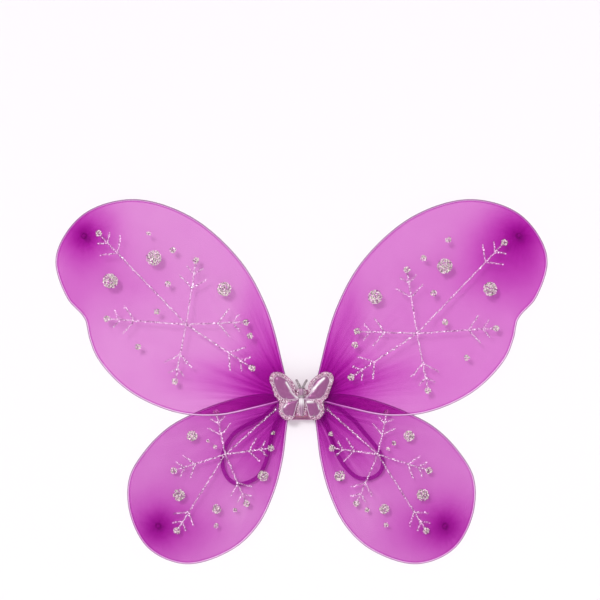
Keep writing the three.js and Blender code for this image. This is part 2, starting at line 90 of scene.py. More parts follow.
# ------------------------------------------------------------------------------ material kit
class Shader:
    """One material's nodes, with short calls for the ones used most."""

    def __init__(self, name):
        self.material = bpy.data.materials.new(name)
        self.material.use_nodes = True
        self.tree = self.material.node_tree
        self.surface = self.tree.nodes["Principled BSDF"]
        self.output = self.tree.nodes["Material Output"]

    def node(self, kind, **settings):
        made = self.tree.nodes.new(kind)
        for key, value in settings.items():
            setattr(made, key, value)
        return made

    def feed(self, socket, value):
        """Links an output to a socket, or sets the socket if value is a plain one."""
        if isinstance(value, bpy.types.NodeSocket):
            self.tree.links.new(value, socket)
        else:
            socket.default_value = value

    def place(self):
        """Position in the piece's own frame, which is the row frame at rest."""
        return self.node("ShaderNodeTexCoord").outputs["Object"]

    def attribute(self, name):
        return self.node("ShaderNodeAttribute", attribute_name=name)

    def lay(self):
        """Distance along the piece as X and round its section as Y."""
        return self.parts(self.attribute("lay").outputs["Vector"])

    def parts(self, vector):
        made = self.node("ShaderNodeSeparateXYZ")
        self.feed(made.inputs[0], vector)
        return made.outputs

    def math(self, operation, first, second=0.0, clamp=False):
        made = self.node("ShaderNodeMath", operation=operation, use_clamp=clamp)
        self.feed(made.inputs[0], first)
        self.feed(made.inputs[1], second)
        return made.outputs[0]

    def vector(self, operation, first, second=(0.0, 0.0, 0.0), scale=None):
        made = self.node("ShaderNodeVectorMath", operation=operation)
        self.feed(made.inputs[0], first)
        if scale is not None:
            self.feed(made.inputs["Scale"], scale)
        else:
            self.feed(made.inputs[1], second)
        return made.outputs["Value" if operation == "LENGTH" else "Vector"]

    def noise(self, scale, detail=2.0, vector=None, roughness=0.5):
        made = self.node("ShaderNodeTexNoise")
        self.feed(made.inputs["Vector"], self.place() if vector is None else vector)
        made.inputs["Scale"].default_value = scale
        made.inputs["Detail"].default_value = detail
        made.inputs["Roughness"].default_value = roughness
        return made.outputs["Fac"]

    def cells(self, scale):
        made = self.node("ShaderNodeTexVoronoi")
        self.feed(made.inputs["Vector"], self.place())
        made.inputs["Scale"].default_value = scale
        return made

    def spread(self, value, low, high, to_low=0.0, to_high=1.0):
        made = self.node("ShaderNodeMapRange")
        self.feed(made.inputs["Value"], value)
        made.inputs["From Min"].default_value = low
        made.inputs["From Max"].default_value = high
        made.inputs["To Min"].default_value = to_low
        made.inputs["To Max"].default_value = to_high
        return made.outputs["Result"]

    def ramp(self, value, stops, constant=False):
        made = self.node("ShaderNodeValToRGB")
        made.color_ramp.interpolation = "CONSTANT" if constant else "LINEAR"
        elements = made.color_ramp.elements
        while len(elements) < len(stops):
            elements.new(0.5)
        for element, (position, color) in zip(elements, stops):
            element.position = position
            element.color = (*color, 1.0)
        self.feed(made.inputs["Fac"], value)
        return made.outputs["Color"]

    def bump(self, height, distance, strength=1.0):
        made = self.node("ShaderNodeBump")
        made.inputs["Strength"].default_value = strength
        made.inputs["Distance"].default_value = distance
        self.feed(made.inputs["Height"], height)
        self.feed(self.surface.inputs["Normal"], made.outputs["Normal"])

    def set(self, **values):
        for key, value in values.items():
            self.feed(self.surface.inputs[key.replace("_", " ")], value)

    def mix_surfaces(self, share, first, second):
        """Ends the material in two surfaces, share being how much of the second shows."""
        mix = self.node("ShaderNodeMixShader")
        self.feed(mix.inputs["Fac"], share)
        self.feed(mix.inputs[1], first.outputs[0])
        self.feed(mix.inputs[2], second.outputs[0])
        self.feed(self.output.inputs["Surface"], mix.outputs[0])


# ------------------------------------------------------------------------------ materials
# Nylon lets light through as a dye does: what passes falls away with the depth of colour.
# These are what a wing's two layers pass at a depth of 1, and what one layer scatters back.
NYLON_PASSES = {"upper": (0.75, 0.30, 0.73), "lower": (0.75, 0.36, 0.735)}
NYLON_FILTER = (1.0, 1.0, 0.935)    # passed whatever the depth
NYLON_SCATTER = (0.60, 0.015, 0.55)
NYLON_COVER = 0.03
HEM_SHADE = (0.26, 0.10, 0.24)      # the hem, seen edge on, and partly painted shade beside the wire
HEM_COVER = 0.9
PLIES = 2
THINNEST = 0.3                      # least depth of colour
ROOT_RAYS_REACH = 42 * MM
TOE_RAYS_REACH = 13 * MM
TOE_RAYS = 0.3                      # strength, beside the root's


def streaks_from(shader, centre, turns, reach, seed):
    """Dark and light rays in the cloth that run out from a point and fade over reach."""
    away = shader.vector("SUBTRACT", shader.place(), centre)
    distance = shader.vector("LENGTH", away)
    heading = shader.vector("NORMALIZE", away)
    drawn = shader.vector("SCALE", heading, scale=turns)
    drift = shader.math("MULTIPLY", distance, 9.0)
    step = shader.node("ShaderNodeCombineXYZ")
    shader.feed(step.inputs["Y"], shader.math("ADD", drift, seed))
    rays = shader.noise(1.0, 4.0, shader.vector("ADD", drawn, step.outputs[0]), 0.62)
    contrast = shader.spread(rays, 0.38, 0.66, -0.5, 0.9)
    fade = shader.math("POWER", math.e, shader.math("MULTIPLY", distance, -1.0 / reach))
    return shader.math("MULTIPLY", contrast, fade)


def nylon_material(name, passes_by_channel, root, toe, seed):
    """Sheer knitted nylon: a coloured filter with a little scatter, darker where it bunches."""
    shader = Shader(name)
    depth = shader.attribute("depth").outputs["Fac"]
    root_rays = streaks_from(shader, root, 15.0, ROOT_RAYS_REACH, seed)
    toe_rays = streaks_from(shader, toe, 7.0, TOE_RAYS_REACH, seed + 5.0)
    rays = shader.math("ADD", root_rays, shader.math("MULTIPLY", toe_rays, TOE_RAYS))
    knit = shader.noise(900.0, 4.0, roughness=0.8)
    cloud = shader.noise(38.0, 3.0)
    uneven = shader.math("ADD", shader.spread(knit, 0.3, 0.7, -0.10, 0.10),
                         shader.spread(cloud, 0.3, 0.7, -0.03, 0.03))
    factor = shader.math("ADD", shader.math("ADD", rays, uneven), 1.0)
    total = shader.math("MAXIMUM", shader.math("MULTIPLY", depth, factor), THINNEST)
    tint = shader.node("ShaderNodeCombineColor")
    for channel, passes, always in zip(("Red", "Green", "Blue"), passes_by_channel, NYLON_FILTER):
        one_ply = shader.math("POWER", passes ** (1.0 / PLIES), total)
        shader.feed(tint.inputs[channel], shader.math("MULTIPLY", one_ply, always ** (1.0 / PLIES)))
    clear = shader.node("ShaderNodeBsdfTransparent")
    shader.feed(clear.inputs["Color"], tint.outputs[0])
    hem = shader.attribute("hem").outputs["Fac"]
    cover = shader.math("ADD", shader.math("MULTIPLY", total, NYLON_COVER),
                        shader.math("MULTIPLY", hem, HEM_COVER), clamp=True)
    # Dark hem colour: nylon seen edge on, with painted shade at the wire's side, widened as painted shade
    # where the rim looks up.
    color = shader.ramp(hem, [(0.0, NYLON_SCATTER), (0.4, HEM_SHADE)])
    shader.mix_surfaces(cover, clear, shader.surface)
    shader.set(Base_Color=color, Roughness=0.6, Specular_IOR_Level=0.1)
    shader.bump(knit, 0.05 * MM, 0.5)
    return shader.material


def gathered_nylon_material(name, brightness):
    """The same nylon, bunched so close that it no longer lets light through."""
    shader = Shader(name)
    lay = shader.lay()
    stretched = shader.node("ShaderNodeCombineXYZ")
    shader.feed(stretched.inputs["X"], shader.math("MULTIPLY", lay["Y"], 3200.0))
    shader.feed(stretched.inputs["Y"], shader.math("MULTIPLY", lay["X"], 180.0))
    folds = shader.noise(1.0, 3.0, stretched.outputs[0])
    shades = [(0.3, (0.16, 0.003, 0.14)), (0.52, (0.34, 0.008, 0.30)), (0.72, (0.55, 0.04, 0.50))]
    color = shader.ramp(folds, [(at, tuple(brightness * part for part in shade)) for at, shade in shades])
    shader.set(Base_Color=color, Roughness=0.55, Sheen_Weight=0.1, Specular_IOR_Level=0.2)
    shader.bump(folds, 0.2 * MM, 0.8)
    return shader.material


def wire_material():
    """Pale lilac coated wire, as it shows inside the hem."""
    shader = Shader("rim_wire")
    wear = shader.noise(160.0, 3.0)
    color = shader.ramp(wear, [(0.3, (0.90, 0.78, 0.92)), (0.7, (0.97, 0.90, 0.98))])
    rough = shader.spread(shader.noise(900.0, 2.0), 0.3, 0.7, 0.25, 0.42)
    shader.set(Base_Color=color, Roughness=rough, Coat_Weight=0.3)
    shader.bump(wear, 0.05 * MM, 0.4)
    return shader.material


def flake_material(name, stops):
    """Cut foil flakes: each one takes its own colour and shine."""
    shader = Shader(name)
    island = shader.node("ShaderNodeNewGeometry").outputs["Random Per Island"]
    color = shader.ramp(island, stops, constant=True)
    grain = shader.noise(5200.0, 2.0)
    rough = shader.spread(grain, 0.3, 0.7, 0.34, 0.54)
    shader.set(Base_Color=color, Metallic=0.5, Roughness=rough)
    shader.bump(grain, 0.02 * MM, 0.4)
    return shader.material


def glue_material():
    """Dried clear glue with the finest glitter dust in it."""
    shader = Shader("glitter_glue_film")
    dust = shader.cells(2600.0)
    speck = shader.spread(dust.outputs["Distance"], 0.15, 0.45, 1.0, 0.0)
    color = shader.ramp(speck, [(0.2, (0.50, 0.28, 0.42)), (0.8, (0.90, 0.80, 0.86))])
    lumps = shader.noise(700.0, 3.0)
    shader.set(Base_Color=color, Roughness=0.35, Specular_IOR_Level=0.3,
               Alpha=shader.spread(speck, 0.0, 1.0, 0.03, 0.28))
    shader.bump(lumps, 0.25 * MM, 0.7)
    return shader.material


def braid_heights(shader, pitch_along, pitch_round):
    """A plaited pattern that follows the piece, from its two pitches."""
    lay = shader.lay()
    along = shader.math("MULTIPLY", lay["X"], 2 * math.pi / pitch_along)
    across = shader.math("MULTIPLY", lay["Y"], 2 * math.pi / pitch_round)
    first = shader.math("SINE", shader.math("ADD", along, across))
    second = shader.math("SINE", shader.math("SUBTRACT", along, across))
    return shader.math("MAXIMUM", first, second)


def elastic_material():
    """Braided elastic: dyed yarns over rubber, darker in the braid's hollows as painted shade and paler on
    the yarn crowns as a painted highlight.
    """
    shader = Shader("elastic")
    braid = braid_heights(shader, 1.6 * MM, 1.5 * MM)
    fuzz = shader.noise(3000.0, 2.0)
    crown = shader.math("ADD", shader.spread(braid, -0.2, 1.0), shader.math("MULTIPLY", fuzz, 0.3))
    # Dark in the hollows, pale on the crowns: painted shade and highlight.
    color = shader.ramp(crown, [(0.1, (0.20, 0.012, 0.20)), (0.65, (0.50, 0.06, 0.50)),
                                (1.0, (0.66, 0.14, 0.66))])
    shader.set(Base_Color=color, Roughness=0.72, Sheen_Weight=0.35)
    shader.bump(crown, 0.14 * MM)
    return shader.material


def felt_material(name, dark, light):
    """Pressed fibre felt: matted threads in every direction, with paler fluff."""
    shader = Shader(name)
    fibres = shader.noise(1500.0, 5.0, roughness=0.75)
    clumps = shader.noise(240.0, 3.0)
    mixed = shader.math("ADD", shader.math("MULTIPLY", fibres, 0.6), shader.math("MULTIPLY", clumps, 0.4))
    shader.set(Base_Color=shader.ramp(mixed, [(0.35, dark), (0.65, light)]),
               Roughness=0.95, Sheen_Weight=0.7)
    shader.bump(mixed, 0.35 * MM, 0.9)
    return shader.material


def ribbon_material():
    """Rose satin ribbon: fine warp lines, brighter where the threads lie flat."""
    shader = Shader("wrap_cloth")
    lay = shader.lay()
    warp = shader.math("SINE", shader.math("MULTIPLY", lay["Y"], 2 * math.pi / (0.34 * MM)))
    weft = shader.math("SINE", shader.math("MULTIPLY", lay["X"], 2 * math.pi / (0.55 * MM)))
    weave = shader.math("MULTIPLY", warp, weft)
    slub = shader.noise(320.0, 3.0)
    color = shader.ramp(slub, [(0.3, (0.36, 0.06, 0.16)), (0.7, (0.62, 0.17, 0.31))])
    shader.set(Base_Color=color, Roughness=0.42, Sheen_Weight=0.5)
    shader.bump(weave, 0.05 * MM, 0.8)
    return shader.material


def thread_material(name, dark, light):
    """Twisted sewing thread, darker in the grooves of its twist as painted shade and paler on its crowns.
    """
    shader = Shader(name)
    twist = braid_heights(shader, 0.5 * MM, 0.9 * MM)
    # Colour follows the twist's height: painted shade in the grooves.
    shader.set(Base_Color=shader.ramp(shader.spread(twist, -0.6, 1.0), [(0.0, dark), (1.0, light)]),
               Roughness=0.6, Sheen_Weight=0.3)
    shader.bump(twist, 0.05 * MM)
    return shader.material


def film_material():
    """Pearly film over wadding: mauve head on, silver where it turns away, and whitened where the silver
    attribute says: painted highlights on the cells and fans, the body's silver.
    """
    shader = Shader("padded_film")
    facing = shader.node("ShaderNodeLayerWeight")
    facing.inputs["Blend"].default_value = 0.42
    crinkle = shader.noise(520.0, 4.0, roughness=0.65)
    shift = shader.math("ADD", facing.outputs["Facing"], shader.spread(crinkle, 0.3, 0.7, -0.12, 0.12))
    tint = shader.ramp(shift, [(0.05, (0.33, 0.09, 0.26)), (0.3, (0.44, 0.19, 0.37)),
                               (0.55, (0.70, 0.48, 0.65)), (0.9, (0.90, 0.82, 0.88))])
    silver = shader.node("ShaderNodeMix", data_type="RGBA")
    # The silver attribute: painted highlights on the cells and fans, and the body's silver.
    silver_and_highlight = shader.attribute("silver").outputs["Fac"]
    shader.feed(silver.inputs["Factor"], silver_and_highlight)
    shader.feed(silver.inputs["A"], tint)
    shader.feed(silver.inputs["B"], (0.98, 0.95, 0.97, 1.0))
    rough = shader.spread(shader.noise(1800.0, 2.0), 0.3, 0.7, 0.30, 0.44)
    shader.set(Base_Color=silver.outputs["Result"], Metallic=shader.spread(silver_and_highlight, 0.0, 1.0, 0.4, 0.0),
               Roughness=rough, Coat_Weight=0.3, Coat_Roughness=0.2)
    shader.bump(crinkle, 0.16 * MM, 0.7)
    return shader.material


def border_material():
    """Fine pink glitter dust set in lacquer, under the larger flakes."""
    shader = Shader("glitter_border")
    dust = shader.cells(3400.0)
    sparkle = shader.node("ShaderNodeSeparateColor")
    shader.feed(sparkle.inputs[0], dust.outputs["Color"])
    color = shader.ramp(sparkle.outputs["Red"], [(0.0, (0.22, 0.07, 0.15)), (0.35, (0.52, 0.22, 0.38)),
                                                 (0.7, (0.74, 0.42, 0.60)), (0.95, (0.95, 0.80, 0.89))])
    rough = shader.spread(sparkle.outputs["Green"], 0.0, 1.0, 0.3, 0.6)
    shader.set(Base_Color=color, Metallic=0.4, Roughness=rough)
    shader.bump(dust.outputs["Distance"], 0.12 * MM, 0.9)
    return shader.material


def metal_cord_material():
    """Silver lurex cord: twisted bright strips over a grey core, darker in the twist's grooves as painted
    shade, with painted glints from noise.
    """
    shader = Shader("glitter_cord")
    twist = braid_heights(shader, 1.1 * MM, 1.3 * MM)
    glint = shader.noise(2600.0, 2.0)
    shade = shader.math("ADD", shader.spread(twist, -0.7, 1.0), shader.spread(glint, 0.3, 0.7, -0.3, 0.3))
    # Painted shade in the twist's grooves and painted glints, from the twist and the glint noise.
    color = shader.ramp(shade, [(0.0, (0.08, 0.055, 0.07)), (0.5, (0.30, 0.24, 0.27)),
                                (1.0, (0.66, 0.58, 0.62))])
    shader.set(Base_Color=color, Metallic=0.7, Roughness=0.4)
    shader.bump(shade, 0.1 * MM)
    return shader.material


def tape_material():
    """Cotton cloth tape with a plain weave."""
    shader = Shader("binding_tape")
    threads = shader.cells(1900.0).outputs["Distance"]
    stain = shader.noise(130.0, 3.0)
    shader.set(Base_Color=shader.ramp(stain, [(0.3, (0.62, 0.55, 0.58)), (0.7, (0.84, 0.80, 0.82))]),
               Roughness=0.88)
    shader.bump(threads, 0.1 * MM)
    return shader.material


def twisted_wire_material():
    """Bare steel wire ends twisted together."""
    shader = Shader("twisted_wire")
    place = shader.parts(shader.place())
    lean = shader.math("ADD", place["X"], place["Z"])
    strands = shader.math("SINE", shader.math("MULTIPLY", lean, 2 * math.pi / (1.4 * MM)))
    stain = shader.noise(500.0, 3.0)
    shader.set(Base_Color=shader.ramp(stain, [(0.3, (0.30, 0.29, 0.30)), (0.7, (0.58, 0.57, 0.59))]),
               Metallic=1.0, Roughness=shader.spread(stain, 0.3, 0.7, 0.25, 0.5))
    shader.bump(strands, 0.3 * MM)
    return shader.material


# ------------------------------------------------------------------------------ mesh kit
SPLINE_STEPS = 24
WELD = 1e-5


def middle_of(node):
    """The middle of a CAD node's box."""
    low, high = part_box(node)
    return (np.array(low) + np.array(high)) / 2


def around(sides):
    """Angles at equal steps round a full turn."""
    return np.arange(sides) * 2 * math.pi / sides


def rolled(gap, roll):
    """A round edge: 0 at a gap of 0 and 1 from a gap of roll on."""
    return np.sqrt(1 - (1 - np.minimum(gap / roll, 1.0)) ** 2)


def bell(distance, width):
    return np.exp(-((distance / width) ** 2))


def unit(vectors):
    lengths = np.linalg.norm(vectors, axis=-1, keepdims=True)
    return vectors / np.maximum(lengths, 1e-12)


def distance_along(path):
    """Distance from the start of a line to each of its points."""
    steps = np.linalg.norm(np.diff(path, axis=0), axis=1)
    return np.concatenate([[0.0], np.cumsum(steps)])


def evenly(points, count, closed=False):
    """count points at equal steps along a line of points."""
    points = np.asarray(points, float)
    if closed:
        points = np.vstack([points, points[:1]])
    travelled = distance_along(points)
    wanted = np.linspace(0.0, travelled[-1], count, endpoint=not closed)
    return np.column_stack([np.interp(wanted, travelled, column) for column in points.T])


def spline(points, count, closed=False):
    """Evenly spaced points on a centripetal Catmull-Rom curve, the kind that the CAD draws."""
    p = np.asarray(points, float)
    if closed:
        p = np.vstack([p[-1:], p, p[:2]])
    else:
        p = np.vstack([2 * p[0] - p[1], p, 2 * p[-1] - p[-2]])
    t = np.linspace(0.0, 1.0, SPLINE_STEPS, endpoint=False)[:, None]
    pieces = []
    for p0, p1, p2, p3 in zip(p[:-3], p[1:-2], p[2:-1], p[3:]):
        d0, d1, d2 = (np.linalg.norm(b - a) ** 0.5 for a, b in ((p0, p1), (p1, p2), (p2, p3)))
        leave = d1 * ((p1 - p0) / d0 - (p2 - p0) / (d0 + d1) + (p2 - p1) / d1)
        arrive = d1 * ((p2 - p1) / d1 - (p3 - p1) / (d1 + d2) + (p3 - p2) / d2)
        pieces.append((2 * t**3 - 3 * t**2 + 1) * p1 + (t**3 - 2 * t**2 + t) * leave
                      + (3 * t**2 - 2 * t**3) * p2 + (t**3 - t**2) * arrive)
    dense = np.vstack(pieces + [p[-2:-1]])
    return evenly(dense[:-1] if closed else dense, count, closed)


def path_length(path):
    return float(np.linalg.norm(np.diff(path, axis=0), axis=1).sum())


def in_plane(outline, y):
    """[x, z] points as [x, y, z]."""
    return np.column_stack([outline[:, 0], np.full(len(outline), y), outline[:, 1]])


def signed_area(outline):
    ahead = np.roll(outline, -1, axis=0)
    return 0.5 * float(np.sum(outline[:, 0] * ahead[:, 1] - ahead[:, 0] * outline[:, 1]))


def sideways(outline, distance, closed=True):
    """An [x, z] line moved to its left by a distance."""
    if closed:
        ahead = np.roll(outline, -1, axis=0) - np.roll(outline, 1, axis=0)
    else:
        ahead = np.gradient(outline, axis=0)
    heading = unit(ahead)
    return outline + distance * np.column_stack([-heading[:, 1], heading[:, 0]])


def inwards(outline, distance):
    return sideways(outline, distance * math.copysign(1.0, signed_area(outline)))


def front_loops(node):
    """The outlines, as [x, z], of the flat face that a CAD plate turns to the viewer; largest first."""
    mesh = frame["nodes"][node].data
    corners = np.array([vertex.co for vertex in mesh.vertices])
    front = corners[:, 1].min()
    known, spots = {}, []
    for corner in corners:
        key = tuple(np.round(corner / WELD).astype(int))
        if key not in known:
            known[key] = len(known)
            spots.append(corner[[0, 2]])
    welded = [known[tuple(np.round(corner / WELD).astype(int))] for corner in corners]
    edges = set()
    for face in mesh.polygons:
        if np.abs(corners[list(face.vertices), 1] - front).max() > 10 * WELD:
            continue
        ring = [welded[i] for i in face.vertices]
        for edge in zip(ring, ring[1:] + ring[:1]):
            if edge[::-1] in edges:
                edges.remove(edge[::-1])
            else:
                edges.add(edge)
    follow = dict(edges)
    loops = []
    while follow:
        start, at = next(iter(follow.items()))
        loop = [start]
        del follow[start]
        while at != start:
            loop.append(at)
            at = follow.pop(at)
        loops.append(np.array([spots[i] for i in loop]))
    return sorted(loops, key=lambda loop: -abs(signed_area(loop)))


def distance_to(points, outline):
    """Distance from each point to a closed outline, all as [x, z]."""
    best = np.full(len(points), np.inf)
    for start, end in zip(outline, np.roll(outline, -1, axis=0)):
        step = end - start
        share = np.clip((points - start) @ step / max(step @ step, 1e-18), 0.0, 1.0)
        gap = points - start - share[:, None] * step
        best = np.minimum(best, np.einsum("ij,ij->i", gap, gap))
    return np.sqrt(best)


def within(points, outline):
    """True for each point inside a closed outline."""
    crossings = np.zeros(len(points), int)
    for start, end in zip(outline, np.roll(outline, -1, axis=0)):
        spans = (start[1] > points[:, 1]) != (end[1] > points[:, 1])
        rise = end[1] - start[1] or 1e-18
        at = start[0] + (points[:, 1] - start[1]) * (end[0] - start[0]) / rise
        crossings += spans & (points[:, 0] < at)
    return crossings % 2 == 1


def honeycomb(outline, spacing):
    """A grid of points in rows that are staggered, over the box of an outline."""
    low, high = outline.min(axis=0), outline.max(axis=0)
    rows = np.arange(low[1], high[1], spacing * math.sqrt(3) / 2)
    columns = np.arange(low[0], high[0], spacing)
    grid = []
    for i, z in enumerate(rows):
        grid.append(np.column_stack([columns + (i % 2) * spacing / 2, np.full(len(columns), z)]))
    return np.vstack(grid)


def circles(centre, radii, count):
    """Points on rings round a centre, each ring turned a little on from the last."""
    rings = []
    for i, radius in enumerate(radii):
        angles = (np.arange(count) + 0.5 * (i % 2)) * 2 * math.pi / count
        rings.append(centre + radius * np.column_stack([np.cos(angles), np.sin(angles)]))
    return np.vstack(rings)


def filled(outlines, inner):
    """Triangles over the region inside outlines[0] and outside the others, through inner points.

    Returns the points, the triangles and each point's distance to the nearest outline.
    """
    points, edges = [], []
    for outline in outlines:
        first = len(points)
        points += [Vector(p) for p in outline]
        edges += [(first + i, first + (i + 1) % len(outline)) for i in range(len(outline))]
    points += [Vector(p) for p in inner]
    made = geometry.delaunay_2d_cdt(points, edges, [], 1, 1e-8)
    flat = np.array([tuple(p) for p in made[0]])
    faces = np.array(made[2])
    middles = flat[faces].mean(axis=1)
    keep = within(middles, outlines[0])
    for hole in outlines[1:]:
        keep &= ~within(middles, hole)
    gap = np.min([distance_to(flat, outline) for outline in outlines], axis=0)
    return flat, faces[keep], gap


def add_mesh(name, vertices, faces, material, attributes=None, smooth=True):
    mesh = bpy.data.meshes.new(name)
    mesh.from_pydata(np.asarray(vertices).tolist(), [], [list(map(int, face)) for face in faces])
    mesh.update()
    mesh.materials.append(material)
    mesh.polygons.foreach_set("use_smooth", [smooth] * len(mesh.polygons))
    for key, values in (attributes or {}).items():
        values = np.asarray(values, np.float32)
        kind, field = ("FLOAT", "value") if values.ndim == 1 else ("FLOAT_VECTOR", "vector")
        mesh.attributes.new(key, kind, "POINT").data.foreach_set(field, values.ravel())
    obj = bpy.data.objects.new(name, mesh)
    bpy.context.scene.collection.objects.link(obj)
    return obj


def pillow(outlines, inner, plane_y, front, back):
    """A closed form over a region: its front and back stand off plane_y and meet at the outlines.

    front takes the points and their distances to the outline, and returns heights. So does back,
    or it is one height for every point. Returns vertices, faces, and each vertex's own flat point
    and distance.
    """
    flat, faces, gap = filled(outlines, inner)
    edge = gap < 1e-7
    faces = faces[~edge[faces].all(axis=1)]
    front_y = plane_y - np.where(edge, 0.0, front(flat, gap))
    back_y = plane_y + np.where(edge, 0.0, back(flat, gap) if callable(back) else back)
    turned = np.cross(flat[faces[:, 1]] - flat[faces[:, 0]], flat[faces[:, 2]] - flat[faces[:, 0]])
    faces = np.where((turned < 0)[:, None], faces[:, ::-1], faces)
    inside = np.flatnonzero(~edge)
    twin = np.arange(len(flat))
    twin[inside] = len(flat) + np.arange(len(inside))
    vertices = np.vstack([
        np.column_stack([flat[:, 0], front_y, flat[:, 1]]),
        np.column_stack([flat[inside, 0], back_y[inside], flat[inside, 1]]),
    ])
    used = np.concatenate([np.arange(len(flat)), inside])
    return vertices, np.vstack([faces, twin[faces][:, ::-1]]), flat[used], gap[used]


def sweep(path, section, closed=False, first_across=None):
    """A section carried along a path. Its columns are across the path and deep.

    Returns vertices, faces and, for each vertex, [distance along, distance round the section, 0].
    """
    path = np.asarray(path, float)
    count, sides = len(path), len(section)
    if closed:
        heading = unit(np.roll(path, -1, axis=0) - np.roll(path, 1, axis=0))
    else:
        heading = unit(np.gradient(path, axis=0))
    if first_across is None:
        first_across = np.cross((0.0, 1.0, 0.0), heading[0])
    across = np.array(first_across, float)
    round_section = distance_along(section)
    travelled = distance_along(path)
    vertices, lay = [], []
    for i in range(count):
        across = unit(across - (across @ heading[i]) * heading[i])
        deep = np.cross(heading[i], across)
        vertices.append(path[i] + section[:, :1] * across + section[:, 1:] * deep)
        lay.append(np.column_stack([np.full(sides, travelled[i]), round_section, np.zeros(sides)]))
    faces = []
    for i in range(count if closed else count - 1):
        near, far = i * sides, ((i + 1) % count) * sides
        for j in range(sides):
            k = (j + 1) % sides
            faces.append((near + j, near + k, far + k, far + j))
    if not closed:
        faces.append(tuple(range(sides))[::-1])
        faces.append(tuple((count - 1) * sides + j for j in range(sides)))
    return np.vstack(vertices), faces, np.vstack(lay)


def ring_section(radius, sides=8):
    """A round section."""
    return radius * np.column_stack([np.cos(around(sides)), np.sin(around(sides))])


def joined(parts):
    """Several (vertices, faces, lay) as one."""
    vertices, faces, lay, first = [], [], [], 0
    for part_vertices, part_faces, part_lay in parts:
        vertices.append(part_vertices)
        faces += [tuple(first + i for i in face) for face in part_faces]
        lay.append(part_lay)
        first += len(part_vertices)
    return np.vstack(vertices), faces, np.vstack(lay)


def add_laid(name, form, material):
    """A mesh from (vertices, faces, lay), whose material can follow the lay."""
    vertices, faces, lay = form
    return add_mesh(name, vertices, faces, material, {"lay": lay})


def finish_piece(obj, body, slot, *replaced):
    """Puts a piece on its body and hides the CAD nodes that it stands for; slot is not used."""
    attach(obj, body)
    if replaced:
        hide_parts(*replaced)


# ------------------------------------------------------------------------------ arm loops
STRAP_WIDTH = 4.5 * MM
STRAP_THICKNESS = 1.0 * MM
STRAP_RIBS = 5
STRAP_RIB_DEPTH = 0.09 * MM
STRAP_POINTS = 220
# Each loop's route, [x, z], the same as the CAD's, from the upper end on the tab round to the lower.
LOOP_ROUTES = {
    "right": np.array([
        (20.2, 4.5), (23.2, 4.5), (30, 2.5), (42, -4), (53, -12.8), (61, -20), (70, -31), (80, -42.6),
        (88, -54), (91.3, -65), (88.5, -75), (81, -81), (72, -83), (61, -80.5), (49, -69.5), (41, -57),
        (36.4, -46), (32, -34.7), (29, -24), (25.5, -15.5), (23.2, -12.2), (20.2, -12.2),
    ]) * MM,
    "left": np.array([
        (-20.2, 4.5), (-23.2, 4.5), (-29, 0.5), (-41, -12), (-52, -18), (-65, -24.5), (-77, -33.5),
        (-85, -46), (-89, -60.5), (-87, -74), (-81, -84), (-72.5, -88.5), (-62, -87.5), (-49, -80.5),
        (-41, -66), (-36.5, -50.5), (-33.5, -35), (-30, -23), (-25.5, -15), (-23.2, -12.2), (-20.2, -12.2),
    ]) * MM,
}


def ribbed_section(width, thickness, ribs, rib_depth=STRAP_RIB_DEPTH, points=31):
    """Flat elastic: square edges rounded over, and ribs where the rubber cores run."""
    shares = np.linspace(-1.0, 1.0, points)
    rounding = np.sqrt(np.maximum(1 - np.abs(shares) ** 8, 0.0))
    relief = rib_depth * (np.cos(math.pi * ribs * (shares + 1)) - 1) / 2
    depth = (thickness / 2 + relief) * rounding
    face = np.column_stack([width / 2 * shares, -depth])
    rear = np.column_stack([width / 2 * shares, depth])[::-1][1:-1]
    return np.vstack([face, rear])


def add_arm_loop(side_name, material):
    """The elastic loop that goes over one of the wearer's arms."""
    node = f"{side_name}_arm_loop"
    path = in_plane(spline(LOOP_ROUTES[side_name], STRAP_POINTS), middle_of(node)[1])
    form = sweep(path, ribbed_section(STRAP_WIDTH, STRAP_THICKNESS, STRAP_RIBS))
    strap = add_laid(f"{side_name}_elastic_loop", form, material)
    finish_piece(strap, f"{side_name}_strap", "elastic", node)


# ------------------------------------------------------------------------------ wings
WIRE_RADIUS = 0.9 * MM
SKIN_TO_WIRE = 1.2 * MM            # CAD skin's edge to the middle of the wire
WIRE_START = 9.4 * MM              # from the root, where the wire leaves the gathers
HEM_RADIUS = 1.02 * MM             # nylon drawn round the wire
HEM_SPREAD = 2.6 * MM              # how fast the two layers come together inside the wire
PLY_GAP = 0.5 * MM                 # from the wing's middle plane to each layer, well inside
HEM_ROWS = np.array([0.1, 0.3, 0.6, 1.0, 1.4, 1.9, 2.5, 3.3, 4.6]) * MM
RIM_STEP = 1.9 * MM
WIRE_STEP = 1.5 * MM
GRID_STEP = 3.6 * MM
ROOT_RINGS = np.arange(10, 66, 2.4) * MM
ROOT_RING_POINTS = 300
TOE_RINGS = np.arange(1.2, 24, 1.7) * MM
TOE_RING_POINTS = 130
ROW_KEPT = 0.93                    # a row's point stays if it is this share of its offset inside
PLEATS = 46                        # pleats in a full turn about a root or a toe
PLEAT_HEIGHT = 0.55 * MM
ROOT_PLEATS_REACH = 26 * MM
TOE_PLEATS_REACH = 9 * MM
FLAT_RIM = 2 * MM                  # no pleats this near the rim
PLEATS_RISE = 6 * MM               # and whole ones this much further in
TOE_PULL = 0.7 * MM                # how far the front layer is drawn in at the toe
TOE_PULL_REACH = 5 * MM

